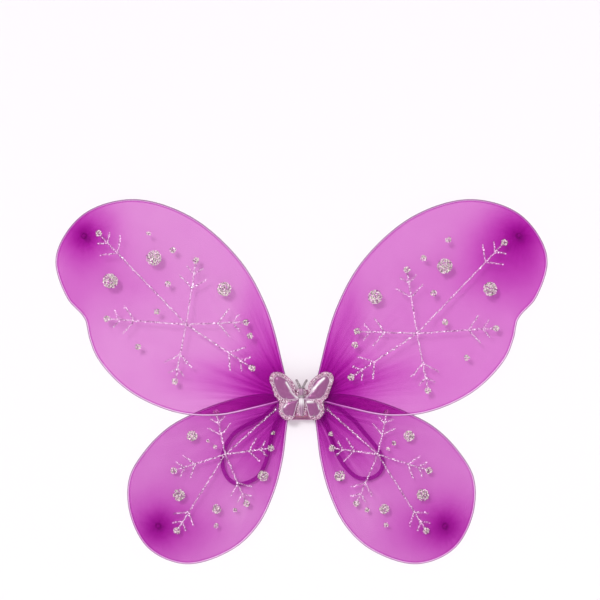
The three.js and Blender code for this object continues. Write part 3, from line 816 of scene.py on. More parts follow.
# Depth of colour. base is the stretched cloth. Each patch is (out from the root, up from it,
# half width, half height, added depth), in mm, and each toe band is (reach, added depth).
WING_LOOKS = {
    "upper": {
        "base": 1.0,
        "patches": [
            (4, 6, 40, 34, 3.4), (14, 46, 20, 44, 1.3), (62, 22, 52, 20, 0.7), (40, 80, 16, 46, 0.6),
            (250, 100, 26, 40, 0.35), (205, 130, 60, 30, 0.3),
        ],
        "toe": [(12, 1.8), (33, 1.7)],
        "seed": 1.0,
    },
    "lower": {
        "base": 1.5,
        "patches": [
            (4, -4, 46, 40, 2.2), (60, 4, 62, 20, 0.8), (40, -44, 34, 44, 0.7), (120, -140, 70, 26, 0.45),
            (60, -110, 26, 60, -0.3), (70, -60, 50, 40, 0.3), (30, 12, 32, 9, -1.5),
        ],
        "toe": [(13, 2.1), (34, 1.3)],
        "seed": 9.0,
    },
}
EXTRA_PATCHES = {"right_upper": [(214, 158, 42, 34, 0.9), (130, 60, 200, 200, 0.22)]}
WIRE_SHADE_DEPTH = 1.0                   # added along a line inside the wire: denser nylon, and painted shade beside the wire
WIRE_SHADE_IN = 2.5                      # mm from the sleeve's edge
WIRE_SHADE_WIDTH = 0.45                  # mm
HEM_WIDTH = 0.75 * MM              # where the rim looks down or to the side
HEM_WIDTH_ABOVE = 1.2 * MM         # where it looks up; the extra width is painted shade
THIN_OVER_WIRE = 0.6               # share of the depth taken away over the wire: nylon stretched thinner there, and a painted highlight along the wire
WIRE_SHOWS_IN = 1.4 * MM
WIRE_SHOWS_WIDTH = 0.4 * MM


def wing_plane(wing):
    return middle_of(f"{wing}_nylon_skin")[1]


def toe_of(wing):
    return middle_of(f"{wing}_toe_knot")[[0, 2]]


def root_of(side, level):
    return np.array([side * HINGE[0], ROOT_Z[level]])


def rim_line(wing, root):
    """The middle of the rim wire, [x, z], from one end at the root round to the other."""
    edge = front_loops(f"{wing}_nylon_skin")[0]
    if signed_area(edge) > 0:
        edge = edge[::-1]
    middles = (edge + np.roll(edge, -1, axis=0)) / 2
    chord = int(np.argmin(np.linalg.norm(middles - root, axis=1)))
    edge = np.roll(edge, -(chord + 1), axis=0)
    line = sideways(edge, SKIN_TO_WIRE, closed=False)[1:-1]
    ends = [root + WIRE_START * unit(near - root) for near in (line[0], line[-1])]
    return np.vstack([ends[0], line, ends[1]])


def sleeve_outline(rim):
    """The outer edge of the nylon: round the wire, and straight across at the root."""
    smooth = spline(rim, int(path_length(rim) / RIM_STEP))
    outer = sideways(smooth, HEM_RADIUS, closed=False)
    chord = evenly(np.array([outer[-1], outer[0]]), 8)[1:-1]
    return np.vstack([outer, chord])


def colour_depth(points, gap, side_name, level, root, toe):
    """How deep the nylon's colour is at each point."""
    look = WING_LOOKS[level]
    out = SIDES[side_name] * (points[:, 0] - root[0]) / MM
    up = (points[:, 1] - root[1]) / MM
    depth = np.full(len(points), look["base"])
    patches = look["patches"] + EXTRA_PATCHES.get(f"{side_name}_{level}", [])
    for x, z, half_width, half_height, added in patches:
        depth += added * np.exp(-(((out - x) / half_width) ** 2) - ((up - z) / half_height) ** 2)
    from_toe = np.linalg.norm(points - toe, axis=1) / MM
    for reach, added in look["toe"]:
        depth += added * bell(from_toe, reach)
    # A dark line just inside the wire: denser nylon, and painted shade beside the wire.
    return depth + WIRE_SHADE_DEPTH * bell(gap / MM - WIRE_SHADE_IN, WIRE_SHADE_WIDTH)


def upward(points, outline):
    """How far up the nearest bit of rim looks, for each point: 0 level or down, 1 nearly straight up."""
    ahead = unit(np.roll(outline, -1, axis=0) - np.roll(outline, 1, axis=0))
    out_z = -ahead[:, 0] * math.copysign(1.0, signed_area(outline))
    nearest = np.empty(len(points), int)
    best = np.full(len(points), np.inf)
    for i, spot in enumerate(outline):
        away = np.sum((points - spot) ** 2, axis=1)
        closer = away < best
        nearest[closer] = i
        best[closer] = away[closer]
    return np.clip((out_z[nearest] - 0.1) / 0.7, 0.0, 1.0)


def pleats_at(points, centre, reach):
    """Small folds that run out from a point, fading with distance."""
    away = points - centre
    distance = np.linalg.norm(away, axis=1)
    angle = np.arctan2(away[:, 1], away[:, 0])
    wave = np.sin(PLEATS * angle + 2.0 * np.sin(5 * angle)) * (0.7 + 0.3 * np.sin(11 * angle + 1.0))
    return wave * np.exp(-distance / reach) * np.clip(distance / (3 * MM), 0, 1)


def sleeve_points(outline, root, toe):
    """The points that carry a sleeve's shape: rows inside its edge, rings at its ends, a grid between."""
    rows = np.vstack([inwards(outline, offset) for offset in HEM_ROWS])
    offsets = np.repeat(HEM_ROWS, len(outline))
    rows = rows[(distance_to(rows, outline) > ROW_KEPT * offsets) & within(rows, outline)]
    root_rings = circles(root, ROOT_RINGS, ROOT_RING_POINTS)
    toe_rings = circles(toe, TOE_RINGS, TOE_RING_POINTS)
    grid = honeycomb(outline, GRID_STEP)
    grid = grid[(np.linalg.norm(grid - root, axis=1) > ROOT_RINGS[-1] + GRID_STEP / 2)
                & (np.linalg.norm(grid - toe, axis=1) > TOE_RINGS[-1] + GRID_STEP / 2)]
    inner = np.vstack([root_rings, toe_rings, grid])
    inner = inner[within(inner, outline)]
    inner = inner[distance_to(inner, outline) > HEM_ROWS[-1] + 0.5 * MM]
    return np.vstack([rows, inner])


def add_sleeve(side_name, level):
    """The nylon sleeve: two layers drawn over the wire, closed round it."""
    side, wing = SIDES[side_name], f"{side_name}_{level}"
    plane_y, toe, root = wing_plane(wing), toe_of(wing), root_of(side, level)
    outline = sleeve_outline(rim_line(wing, root))

    def thickness(gap):
        round_wire = np.sqrt(np.maximum(HEM_RADIUS**2 - (HEM_RADIUS - gap) ** 2, 0.0))
        past = np.maximum(gap - HEM_RADIUS, 0.0)
        wedge = PLY_GAP + (HEM_RADIUS - PLY_GAP) * np.exp(-past / HEM_SPREAD)
        return np.where(gap < HEM_RADIUS, round_wire, wedge)

    def relief(points, gap):
        held = np.clip((gap - FLAT_RIM) / PLEATS_RISE, 0.0, 1.0)
        folds = pleats_at(points, root, ROOT_PLEATS_REACH) + pleats_at(points, toe, TOE_PLEATS_REACH)
        return held * PLEAT_HEIGHT * folds

    def front(points, gap):
        pull = TOE_PULL * bell(np.linalg.norm(points - toe, axis=1), TOE_PULL_REACH)
        return thickness(gap) + relief(points, gap) - pull

    def back(points, gap):
        return thickness(gap) - relief(points, gap)

    inner = sleeve_points(outline, root, toe)
    vertices, faces, flat, gap = pillow([outline], inner, plane_y, front, back)
    # Rims that look up get a wider dark hem and no light line over the wire: painted shade set by which way
    # the rim looks.
    above = upward(flat, outline)
    hem = bell(gap, HEM_WIDTH + above * (HEM_WIDTH_ABOVE - HEM_WIDTH))
    # Lighter over the wire: partly nylon stretched thinner, partly a painted highlight, left out where the
    # rim looks up.
    stretched = THIN_OVER_WIRE * (1 - above) * bell(gap - WIRE_SHOWS_IN, WIRE_SHOWS_WIDTH)
    depth = colour_depth(flat, gap, side_name, level, root, toe) * (1 - stretched)
    seed = WING_LOOKS[level]["seed"] + side
    material = nylon_material(f"{wing}_nylon", NYLON_PASSES[level], (root[0], plane_y, root[1]),
                              (toe[0], plane_y, toe[1]), seed)
    sleeve = add_mesh(f"{wing}_nylon_sleeve", vertices, faces, material, {"depth": depth, "hem": hem})
    sleeve.visible_shadow = False
    sleeve.visible_diffuse = False
    finish_piece(sleeve, f"{wing}_wing", "sheer_nylon", f"{wing}_nylon_skin")


def add_rim_wire(side_name, level, material):
    """The coated wire inside a wing's hem."""
    wing = f"{side_name}_{level}"
    rim = rim_line(wing, root_of(SIDES[side_name], level))
    path = in_plane(spline(rim, int(path_length(rim) / WIRE_STEP)), wing_plane(wing))
    wire = add_laid(f"{wing}_rim", sweep(path, ring_section(WIRE_RADIUS, 14)), material)
    wire.visible_shadow = False
    finish_piece(wire, f"{wing}_wing", "rim_wire", f"{wing}_wire_frame")


# ------------------------------------------------------------------------------ glitter
FLAKE_SIDES = 6
FLAKE_TILT = 0.55                  # radians, the most that a flake leans
LINE_FLAKE_STEP = 1.15 * MM
LINE_FLAKE_SHIFT = 0.42 * MM
LINE_FLAKE_RADII = (0.48, 0.76)    # mm
LINE_FLAKE_LIFT = 0.05 * MM
DOT_FLAKES = 1.7                   # flakes on each square mm
DOT_FLAKE_RADII = (0.40, 0.62)     # mm
DOT_CROWN = 0.7 * MM
DOT_SINKS = 0.5 * MM               # its edge, behind the front of the drawn glue
TIP_RADIUS = 3.6                   # mm, the dot at the end of a snowflake's arm
# Loose dots, (out from the middle of the wings, up from the origin, radius), in mm.
BIG_DOTS = {
    "left_upper": [(214, 138.9, 8.4), (165.2, 164.6, 8.4), (86.4, 129.9, 7.8)],
    "right_upper": [(160.3, 155.7, 8.4), (211.1, 129.9, 7.8), (82.3, 121, 7.8)],
    "left_lower": [(122.6, -34.7, 5.9), (137.2, -100.8, 6.6), (43.1, -79.5, 5.9), (95.2, -116.5, 5.2)],
    "right_lower": [(120.4, -34.7, 5.9), (136.1, -100.8, 6.7), (43.1, -79.5, 5.9), (93, -116.5, 5.5)],
}
SMALL_DOTS = {
    "left_upper": [(171.2, 192, 2.6), (143.9, 173.6, 3.4), (149.5, 135.5, 3.4), (161.8, 104.7, 3.4),
                   (183.1, 65.6, 3.4), (57.7, 77.3, 3.4)],
    "right_upper": [(164.1, 184.8, 3.4), (136.6, 164.6, 3.4), (147.8, 125.4, 3.4), (160.7, 93, 3.4),
                    (184.9, 53.2, 3.4), (59.9, 67.2, 3.4)],
    "left_lower": [(104.7, -40.3, 1.7), (96.9, -47, 2.2), (31.9, -31.4, 2.2), (74.5, -117.6, 2.2),
                   (95.8, -135.1, 2.8)],
    "right_lower": [(96.9, -49.3, 1.9), (103.6, -42.6, 2.5), (33, -32.5, 2.5), (73.4, -117.6, 2.7),
                    (94.6, -134.4, 2.7)],
}
# Each snowflake's centre and its arms' ends, (out from the middle of the wings, up), in mm. The
# arms to tips have pairs of branches, each (back from the arm's end, length); a plain arm has none.
BRANCH_ANGLE = math.radians(52)
UPPER_PAIRS = [(31, 20), (15, 12)]
LOWER_PAIRS = [(25, 16.5), (12, 11)]
LOWER_TIPS = [(95.4, -8.8), (34.2, -48.2), (61.5, -110.3), (139.7, -140.9), (143, -73.7)]
SNOWFLAKES = {
    "left_upper": {
        "centre": (129.1, 90.3), "pairs": UPPER_PAIRS, "plain": [],
        "tips": [(227, 192.2), (117.9, 161.8), (62.1, 92.7), (55.5, 41.5), (141.7, 26.4), (217.9, 96.5)],
    },
    "right_upper": {
        "centre": (129.1, 80.1), "pairs": UPPER_PAIRS, "plain": [],
        "tips": [(227, 182), (117.9, 151.6), (62.1, 82.5), (55.5, 31.3), (141.7, 16.2), (217.9, 86.3)],
    },
    "left_lower": {
        "centre": (85.4, -55.4), "pairs": LOWER_PAIRS, "plain": [(28.6, -4.6)], "tips": LOWER_TIPS,
    },
    "right_lower": {
        "centre": (85.4, -55.4), "pairs": LOWER_PAIRS, "plain": [(28.6, -4.6)], "tips": LOWER_TIPS,
    },
}


def snowflake_lines(drawing, side):
    """The snowflake's arms and branches, each as its two ends, [x, z]."""
    scale = np.array([side * MM, MM])
    centre = np.array(drawing["centre"])
    lines = [(centre, np.array(end)) for end in drawing["plain"]]
    for tip in np.array(drawing["tips"]):
        lines.append((centre, tip))
        heading = math.atan2(*(tip - centre)[::-1])
        for set_back, length in drawing["pairs"]:
            node = tip - set_back * np.array([math.cos(heading), math.sin(heading)])
            for turn in (BRANCH_ANGLE, -BRANCH_ANGLE):
                way = np.array([math.cos(heading + turn), math.sin(heading + turn)])
                lines.append((node, node + length * way))
    return [(start * scale, end * scale) for start, end in lines]


def scattered_along(lines, rng):
    """Points at near-even steps along each line, a little off it."""
    rows = []
    for start, end in lines:
        count = max(2, int(np.linalg.norm(end - start) / LINE_FLAKE_STEP))
        share = (np.arange(count) + rng.uniform(0.3, 0.7, count)) / count
        rows.append(start + share[:, None] * (end - start))
    spots = np.vstack(rows)
    return spots + rng.normal(0, LINE_FLAKE_SHIFT, spots.shape)


def flakes(centres, radii, rng, tilt=FLAKE_TILT):
    """Foil flakes that face the viewer, each turned and tilted its own way."""
    count = len(centres)
    turn = rng.uniform(0, math.pi, count)
    lean_way = rng.uniform(0, 2 * math.pi, count)
    lean = rng.normal(0, tilt / 2, count).clip(-tilt, tilt)
    angle = around(FLAKE_SIDES)[None, :] + turn[:, None]
    x = radii[:, None] * np.cos(angle)
    z = radii[:, None] * np.sin(angle)
    slope = x * np.cos(lean_way)[:, None] + z * np.sin(lean_way)[:, None]
    y = slope * np.sin(lean)[:, None]
    vertices = np.stack([x, y, z], axis=-1) + centres[:, None, :]
    faces = np.arange(count * FLAKE_SIDES).reshape(count, FLAKE_SIDES)
    return vertices.reshape(-1, 3), faces


def dot_points(centre, radius, rng):
    """Random points in a disc, a little tighter towards its edge, and each one's share of the radius."""
    count = int(math.pi * (radius / MM) ** 2 * DOT_FLAKES)
    away = radius * rng.uniform(0, 1, count) ** 0.47
    angle = rng.uniform(0, 2 * math.pi, count)
    return centre + np.column_stack([away * np.cos(angle), away * np.sin(angle)]), away / radius


def add_glitter(side_name, level, line_foil, dot_foil, glue):
    """Foil flakes in clear glue: the snowflake's lines and tip dots, and the loose dots."""
    side, wing = SIDES[side_name], f"{side_name}_{level}"
    rng = np.random.default_rng(100 + 7 * side + (3 if level == "upper" else 0))
    drawing = SNOWFLAKES[wing]
    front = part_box(f"{wing}_snowflake")[0].y
    spots = scattered_along(snowflake_lines(drawing, side), rng)
    radii = rng.uniform(*LINE_FLAKE_RADII, len(spots)) * MM
    vertices, faces = flakes(in_plane(spots, front - LINE_FLAKE_LIFT), radii, rng)
    lines = add_mesh(f"{wing}_glitter_lines", vertices, faces, line_foil, smooth=False)
    finish_piece(lines, f"{wing}_wing", "glitter_glue")

    places, sizes, domes = [], [], []
    tips = [(*tip, TIP_RADIUS) for tip in drawing["tips"]]
    for out, up, radius in BIG_DOTS[wing] + SMALL_DOTS[wing] + tips:
        centre = np.array([side * out, up]) * MM
        points, share = dot_points(centre, radius * MM, rng)
        crown = DOT_CROWN * np.sqrt(1 - (0.9 * share) ** 2)
        places.append(np.column_stack([points[:, 0], front + DOT_SINKS - crown, points[:, 1]]))
        sizes.append(rng.uniform(*DOT_FLAKE_RADII, len(points)) * MM)
        domes.append(dome(centre, radius * MM, front + DOT_SINKS + 0.1 * MM, DOT_CROWN * 0.9))
    centres, radii = np.vstack(places), np.concatenate(sizes)
    vertices, faces = flakes(centres, radii, rng)
    dots = add_mesh(f"{wing}_glitter_dots", vertices, faces, dot_foil, smooth=False)
    finish_piece(dots, f"{wing}_wing", "glitter_glue")
    glue_dots = add_laid(f"{wing}_glue_dots", joined(domes), glue)
    finish_piece(glue_dots, f"{wing}_wing", "glitter_glue")


def dome(centre, radius, base_y, height, rings=5, sides=28):
    """A low closed dome that rises towards the viewer, with a lay of 0."""
    vertices = [(centre[0], base_y, centre[1])]
    for share in np.linspace(1.0, 0.2, rings):
        lift = height * math.sqrt(1 - (0.96 * share) ** 2)
        for angle in around(sides):
            vertices.append((centre[0] + radius * share * math.cos(angle), base_y - lift,
                             centre[1] + radius * share * math.sin(angle)))
    vertices.append((centre[0], base_y - height, centre[1]))
    faces = [(0, 1 + i, 1 + (i + 1) % sides) for i in range(sides)]
    for ring in range(rings - 1):
        near, far = 1 + ring * sides, 1 + (ring + 1) * sides
        faces += [(near + i, far + i, far + (i + 1) % sides, near + (i + 1) % sides) for i in range(sides)]
    last = 1 + (rings - 1) * sides
    faces += [(last + i, len(vertices) - 1, last + (i + 1) % sides) for i in range(sides)]
    return np.array(vertices), faces, np.zeros((len(vertices), 3))


# ------------------------------------------------------------------------------ gathers and knots
GATHER_REACH = 15 * MM
GATHER_ROOT_WIDTH = 2.5 * MM
GATHER_ROOT_DEPTH = 2.8 * MM
GATHER_END_DEPTH = 1.0 * MM
GATHER_PLEATS = 28
GATHER_ANGLES = {"upper": (75, -14), "lower": (-75, 45)}
BINDING_TURNS = 5
BINDING_RADIUS = 0.26 * MM
NECK_RADIUS = 2.5 * MM
NECK_SIDES = 72
NECK_INNER_X = 8.4 * MM
NECK_OUTER_X = 13.6 * MM
KNOT_PLEATS = 13
# From the skin back through the knot: (share of its depth, radius in mm, how deep its pleats are).
KNOT_PROFILE = [
    (-0.05, 2.1, 0.06), (0.04, 2.1, 0.10), (0.14, 1.9, 0.14), (0.28, 1.7, 0.14), (0.42, 1.55, 0.12),
    (0.58, 1.55, 0.12), (0.72, 2.2, 0.20), (0.86, 3.0, 0.24), (0.97, 3.4, 0.26), (1.0, 3.0, 0.26),
    (0.93, 1.6, 0.20), (0.90, 0.3, 0.10),
]
TIE_TURNS = 4
TIE_RADIUS = 1.75 * MM
TIE_THREAD_RADIUS = 0.2 * MM


def gather_ring(share, side, level, plane_y, sides=120):
    """One cross-section of a wing's bunched root: share is 0 at the hinge and 1 at its outer end."""
    root = root_of(1, level)
    first, last = (math.radians(angle) for angle in GATHER_ANGLES[level])
    middle, spread = (first + last) / 2, abs(first - last) / 2
    turn = around(sides)
    pleat = 1 + 0.11 * np.cos(GATHER_PLEATS * turn + 1.5 * np.sin(3 * turn))
    across, deep = np.cos(turn) * pleat, np.sin(turn) * pleat
    angle = middle + across * spread
    width = (1 - share) * GATHER_ROOT_WIDTH * across
    x = root[0] + share * GATHER_REACH * np.cos(angle) - width * math.sin(middle)
    z = root[1] + share * GATHER_REACH * np.sin(angle) + width * math.cos(middle)
    depth = GATHER_ROOT_DEPTH + (GATHER_END_DEPTH - GATHER_ROOT_DEPTH) * share**0.7
    y = HINGE[1] + (plane_y - HINGE[1]) * min(1.0, 1.6 * share) + depth * deep
    return np.column_stack([side * x, y, z])


def loft(rings):
    """A closed form through rings of points, with each vertex's [along, round, 0]."""
    count, sides = len(rings), len(rings[0])
    vertices = np.vstack(rings)
    faces = []
    for i in range(count - 1):
        for j in range(sides):
            k = (j + 1) % sides
            faces.append((i * sides + j, i * sides + k, (i + 1) * sides + k, (i + 1) * sides + j))
    faces.append(tuple(range(sides))[::-1])
    faces.append(tuple((count - 1) * sides + j for j in range(sides)))
    start = rings[0].mean(axis=0)
    along = np.repeat([np.linalg.norm(ring.mean(axis=0) - start) for ring in rings], sides)
    steps = np.concatenate([distance_along(ring) for ring in rings])
    return vertices, faces, np.column_stack([along, steps, np.zeros(len(vertices))])


def add_gather(side_name, level, nylon, thread):
    """The bunched nylon at a wing's root, bound with thread, and the neck at the hinge."""
    side, wing = SIDES[side_name], f"{side_name}_{level}"
    plane_y = wing_plane(wing)
    rings = [gather_ring(share, side, level, plane_y) for share in np.linspace(0.0, 1.0, 16)]
    gather = add_laid(f"{wing}_gathers", loft(rings), nylon)
    finish_piece(gather, f"{wing}_wing", "gathered_nylon", f"{wing}_root_gather")
    turns = []
    for i in range(BINDING_TURNS):
        ring = gather_ring(0.10 + 0.035 * i, side, level, plane_y, sides=48)
        turns.append(sweep(ring, ring_section(BINDING_RADIUS), closed=True))
    binding = add_laid(f"{wing}_binding", joined(turns), thread)
    finish_piece(binding, f"{wing}_wing", "thread")

    root_z = ROOT_Z[level]
    turn = around(NECK_SIDES)
    rings = []
    for share in np.linspace(0.0, 1.0, 12):
        waist = 1 - 0.16 * math.sin(math.pi * share)
        radius = NECK_RADIUS * waist * (1 + 0.10 * np.cos(15 * turn + share))
        x = np.full(NECK_SIDES, side * (NECK_INNER_X + share * (NECK_OUTER_X - NECK_INNER_X)))
        rings.append(np.column_stack([x, HINGE[1] + radius * np.cos(turn), root_z + radius * np.sin(turn)]))
    neck = add_laid(f"{wing}_neck", loft(rings), nylon)
    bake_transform(neck)


def add_toe_knot(side_name, level, nylon, thread):
    """The closed toe of the sleeve: drawn through to the rear, pleated, and tied off."""
    wing = f"{side_name}_{level}"
    low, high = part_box(f"{wing}_toe_knot")
    centre = toe_of(wing)
    depth = high.y - low.y
    turn = around(104)
    rings = []
    for share, radius, pleat in KNOT_PROFILE:
        r = radius * MM * (1 + pleat * np.cos(KNOT_PLEATS * turn + 1.2 * np.sin(2 * turn)))
        wave = 0.25 * MM * np.sin(5 * turn) * max(0.0, share - 0.6)
        rings.append(np.column_stack([centre[0] + r * np.cos(turn), low.y + share * depth + wave,
                                      centre[1] + r * np.sin(turn)]))
    knot = add_laid(f"{wing}_toe_tuft", loft(rings), nylon)
    finish_piece(knot, f"{wing}_wing", "gathered_nylon", f"{wing}_toe_knot")
    ring = circles(centre, [TIE_RADIUS], 32)
    turns = []
    for i in range(TIE_TURNS):
        y = low.y + (0.40 + 0.07 * i) * depth
        turns.append(sweep(in_plane(ring, y), ring_section(TIE_THREAD_RADIUS), closed=True))
    tie = add_laid(f"{wing}_toe_tie", joined(turns), thread)
    finish_piece(tie, f"{wing}_wing", "thread", f"{wing}_toe_thread")


# ------------------------------------------------------------------------------ centre and back
PAD_EDGE = 1.5 * MM
STITCH_RADIUS = 0.22 * MM
STITCH_LENGTH = 2.2 * MM
STITCH_PITCH = 3.3 * MM
STITCH_INSET = 3.2 * MM
SEAM_SINKS = 0.32 * MM
RIBBON_WIDTH = 5.6 * MM
RIBBON_THICKNESS = 0.45 * MM
RIBBON_PLACES = np.array([-6.2, 6.2, -3.1, 3.1, 0.0]) * MM     # in the order wound
TAB_RIBS = 11
SEWN_THICKNESS = 0.7 * MM          # of the loop's ends, pressed flat by the stitches
# A loop's end, [x, y] on the right-hand side, from over the tab out to where the loop is free.
SEWN_END = [(13.0, -4.1), (15.5, -4.2), (18.2, -4.15), (20.0, -3.6), (21.6, -3.3)]
SEWN_POINTS = 22
SEWN_BEND = (18.9 * MM, 21.4 * MM)     # x values for two points at the strap's swing hinge, which nothing uses


def stitch(start, end, proud):
    """One thread stitch that rises out of the cloth and goes back into it."""
    start, end = np.asarray(start, float), np.asarray(end, float)
    share = np.linspace(0.0, 1.0, 7)[:, None]
    path = start + share * (end - start) + np.sin(math.pi * share) * np.asarray(proud)
    return sweep(path, ring_section(STITCH_RADIUS))


def ring_of_stitches(path, proud):
    """Stitches along a closed line, with a gap between each and the next."""
    count = int(path_length(path) / STITCH_PITCH)
    spots = evenly(path, 8 * count, closed=True)
    step = round(8 * STITCH_LENGTH / STITCH_PITCH)
    return [stitch(spots[8 * i], spots[(8 * i + step) % len(spots)], proud) for i in range(count)]


def add_pad(felt, thread):
    """The felt back pad: rounded over at its edge and sewn through round its border."""
    low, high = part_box("back_pad")
    middle, half = middle_of("back_pad")[1], (high.y - low.y) / 2
    outline = evenly(front_loops("back_pad")[0], 150, closed=True)
    rows = np.vstack([inwards(outline, offset * MM) for offset in (0.2, 0.5, 0.9, 1.4, 2.2, 3.2, 4.4)])
    grid = honeycomb(outline, 1.2 * MM)
    grid = grid[within(grid, outline) & (distance_to(grid, outline) > 5 * MM)]

    def height(points, gap):
        seam = SEAM_SINKS * bell(gap - STITCH_INSET, 0.8 * MM)
        uneven = 0.06 * MM * np.sin(points[:, 0] * 900) * np.sin(points[:, 1] * 1100)
        return half * rolled(gap, PAD_EDGE) - seam - np.abs(uneven) * (gap > PAD_EDGE)

    vertices, faces, *_ = pillow([outline], np.vstack([rows, grid]), middle, height, height)
    pad = add_mesh("felt_back_pad", vertices, faces, felt)
    finish_piece(pad, "centre", "felt", "back_pad")
    seam = in_plane(inwards(outline, STITCH_INSET), high.y - 0.30 * MM)
    stitches = add_laid("pad_stitches", joined(ring_of_stitches(seam, (0, SEAM_SINKS, 0))), thread)
    finish_piece(stitches, "centre", "thread")


def add_wrap(ribbon):
    """Rose ribbon wound round the bundle of wing roots, each turn lapping the last."""
    low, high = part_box("centre_wrap")
    _, y, z = middle_of("centre_wrap")
    angles = around(96)
    # A superellipse: a rounded rectangle.
    bulge = (np.abs(np.cos(angles)) ** 6 + np.abs(np.sin(angles)) ** 6) ** (-1 / 6)
    section = ribbed_section(RIBBON_WIDTH, RIBBON_THICKNESS, 1, 0.0)
    turns = []
    for i, x in enumerate(RIBBON_PLACES):
        inset = (0.9 - 0.15 * i) * MM
        half_y, half_z = (high.y - low.y) / 2 - inset, (high.z - low.z) / 2 - inset
        lean = 0.5 * MM * np.sin(angles + i)
        path = np.column_stack([x + lean, y + half_y * bulge * np.cos(angles),
                                z + half_z * bulge * np.sin(angles)])
        turns.append(sweep(path, section, closed=True, first_across=(1, 0, 0)))
    wrap = add_laid("ribbon_wrap", joined(turns), ribbon)
    finish_piece(wrap, "centre", "wrap_cloth", "centre_wrap")


def add_tab(side_name, elastic, thread):
    """The elastic tab beside the pad, and the two sewn ends by which its arm loop is held."""
    side, node = SIDES[side_name], f"{side_name}_strap_tab"
    low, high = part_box(node)
    x, y, _ = middle_of(node)
    path = np.column_stack([np.full(26, x), np.full(26, y), np.linspace(low.z, high.z, 26)])
    section = ribbed_section(high.x - low.x, high.y - low.y, TAB_RIBS, points=89)
    tab = add_laid(f"{side_name}_elastic_tab", sweep(path, section), elastic)
    finish_piece(tab, "centre", "elastic", node)

    route = LOOP_ROUTES[side_name]
    bend = spline(np.array(SEWN_END) * MM, SEWN_POINTS)
    section = ribbed_section(STRAP_WIDTH, SEWN_THICKNESS, STRAP_RIBS)
    ends, stitches = [], []
    for end_z in (route[0][1], route[-1][1]):
        path = np.column_stack([side * bend[:, 0], bend[:, 1], np.full(SEWN_POINTS, end_z)])
        ends.append(sweep(path, section, first_across=(0, 0, 1)))
        for x_mm in (14.2, 17.0):
            for k in range(4):
                z = end_z + (-1.5 + k) * MM
                start = (side * (x_mm - 0.3) * MM, y + 0.5 * MM, z - 0.2 * MM)
                stop = (side * (x_mm + 1.5) * MM, y + 0.5 * MM, z + 0.5 * MM)
                stitches.append(stitch(start, stop, (0, 0.25 * MM, 0)))
    sewn = add_laid(f"{side_name}_sewn_ends", joined(ends), elastic)
    hinge = JOINTS[f"{side_name}_strap_swing"]["pos_m"]
    start, stop = ((side * bend_x, hinge[1], hinge[2]) for bend_x in SEWN_BEND)
    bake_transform(sewn)
    threads = add_laid(f"{side_name}_tab_stitches", joined(stitches), thread)
    finish_piece(threads, "centre", "thread")


# ------------------------------------------------------------------------------ ornament
PINCH = np.array([0.0, 10.0]) * MM # [x, z] where the ornament is drawn in
BORDER_CROWN = 1.7 * MM
BORDER_ROLL = 1.9 * MM
BORDER_FLAKES = 3.0                # flakes on each square mm
BORDER_FLAKE_RADII = (0.34, 0.58)  # mm
BORDER_FLAKE_TILT = 0.7
BORDER_SEED = 40
PUFF_CROWN = 3.0 * MM
PUFF_ROLL = 5.2 * MM
FLAT_BACK = 0.05 * MM              # how far a padded form's rear stands behind its edge
PIPING_RADIUS = 0.38 * MM
CELL_PIPING_LIFT = 0.75 * MM
FAN_PIPING_LIFT = 1.9 * MM
ANTENNA_POINTS = [(1.4, 19.3), (3.4, 24.0), (6.0, 28.6)]       # [x, z] in mm, right-hand side
ANTENNA_STRAND = 0.76 * MM
ANTENNA_PITCH = 2.4 * MM
BINDING_WINDS = 4
BINDING_ACROSS = 2.9 * MM
BINDING_DEEP = 2.4 * MM
BODY_SIDES = 64
# The stuffed body's radius and height, in mm, between its two ends.
BODY_PROFILE = [
    (1.3, -11.0), (2.0, -8.0), (2.5, -3.0), (2.9, 2.0), (2.7, 6.0), (1.9, 8.6), (1.55, 11.2),
    (2.2, 13.4), (2.55, 15.8), (2.2, 18.0), (1.1, 19.2),
]
# Pleated film from the pinch out over each cell: outline [x, z] in mm on the right-hand side.
FANS = {
    "upper": [(2.0, 9.0), (5.0, 9.8), (8.3, 12.4), (12.9, 18.6), (16.5, 24.5), (19.5, 26.5), (20.5, 20.0),
              (19.0, 12.0), (17.0, 7.4), (13.0, 6.3), (8.0, 6.9), (3.0, 7.8)],
    "lower": [(2.6, 7.2), (5.6, 6.2), (10.0, 5.4), (14.5, 4.2), (17.4, 2.0), (18.0, -3.0), (16.4, -8.0),
              (12.6, -12.0), (9.6, -12.2), (7.4, -7.0), (6.0, -1.0), (4.2, 3.6)],
}
FAN_CROWN = 2.3 * MM
FAN_ROLL = 3.0 * MM
FAN_LIFT = 1.0 * MM
# The parts of each fan's outline that are piped, as first and last point above.
FAN_PIPING = {"upper": [(1, 4), (8, 11)], "lower": [(0, 2), (7, 11)]}
# Painted highlights on the film, as near-white streaks: two ends [x, z] and half the width, in mm, each
# side's own.
PAINTED_HIGHLIGHTS = {
    "left": [((17.0, 25.5), (11.4, 16.2), 1.1), ((11.4, 16.2), (4.9, 9.0), 1.6),
             ((19.6, -2.1), (16.7, 1.4), 0.8)],
    "right": [((25.0, 30.3), (14.6, 19.6), 1.2), ((14.6, 19.6), (5.4, 10.8), 1.6),
              ((6.6, 4.0), (12.4, 4.4), 1.5), ((18.4, 0.6), (19.8, -4.2), 0.7)],
}
# The glittered strip between the two halves, [x, z] in mm on the right-hand side, top to bottom.
CENTRE_STRIP = [
    (0.0, 19.6), (3.0, 19.2), (5.1, 17.4), (5.4, 8.0), (5.4, -4.0), (4.7, -10.6), (2.2, -11.8),
    (0.0, -11.9),
]
CENTRE_CROWN = 1.1 * MM


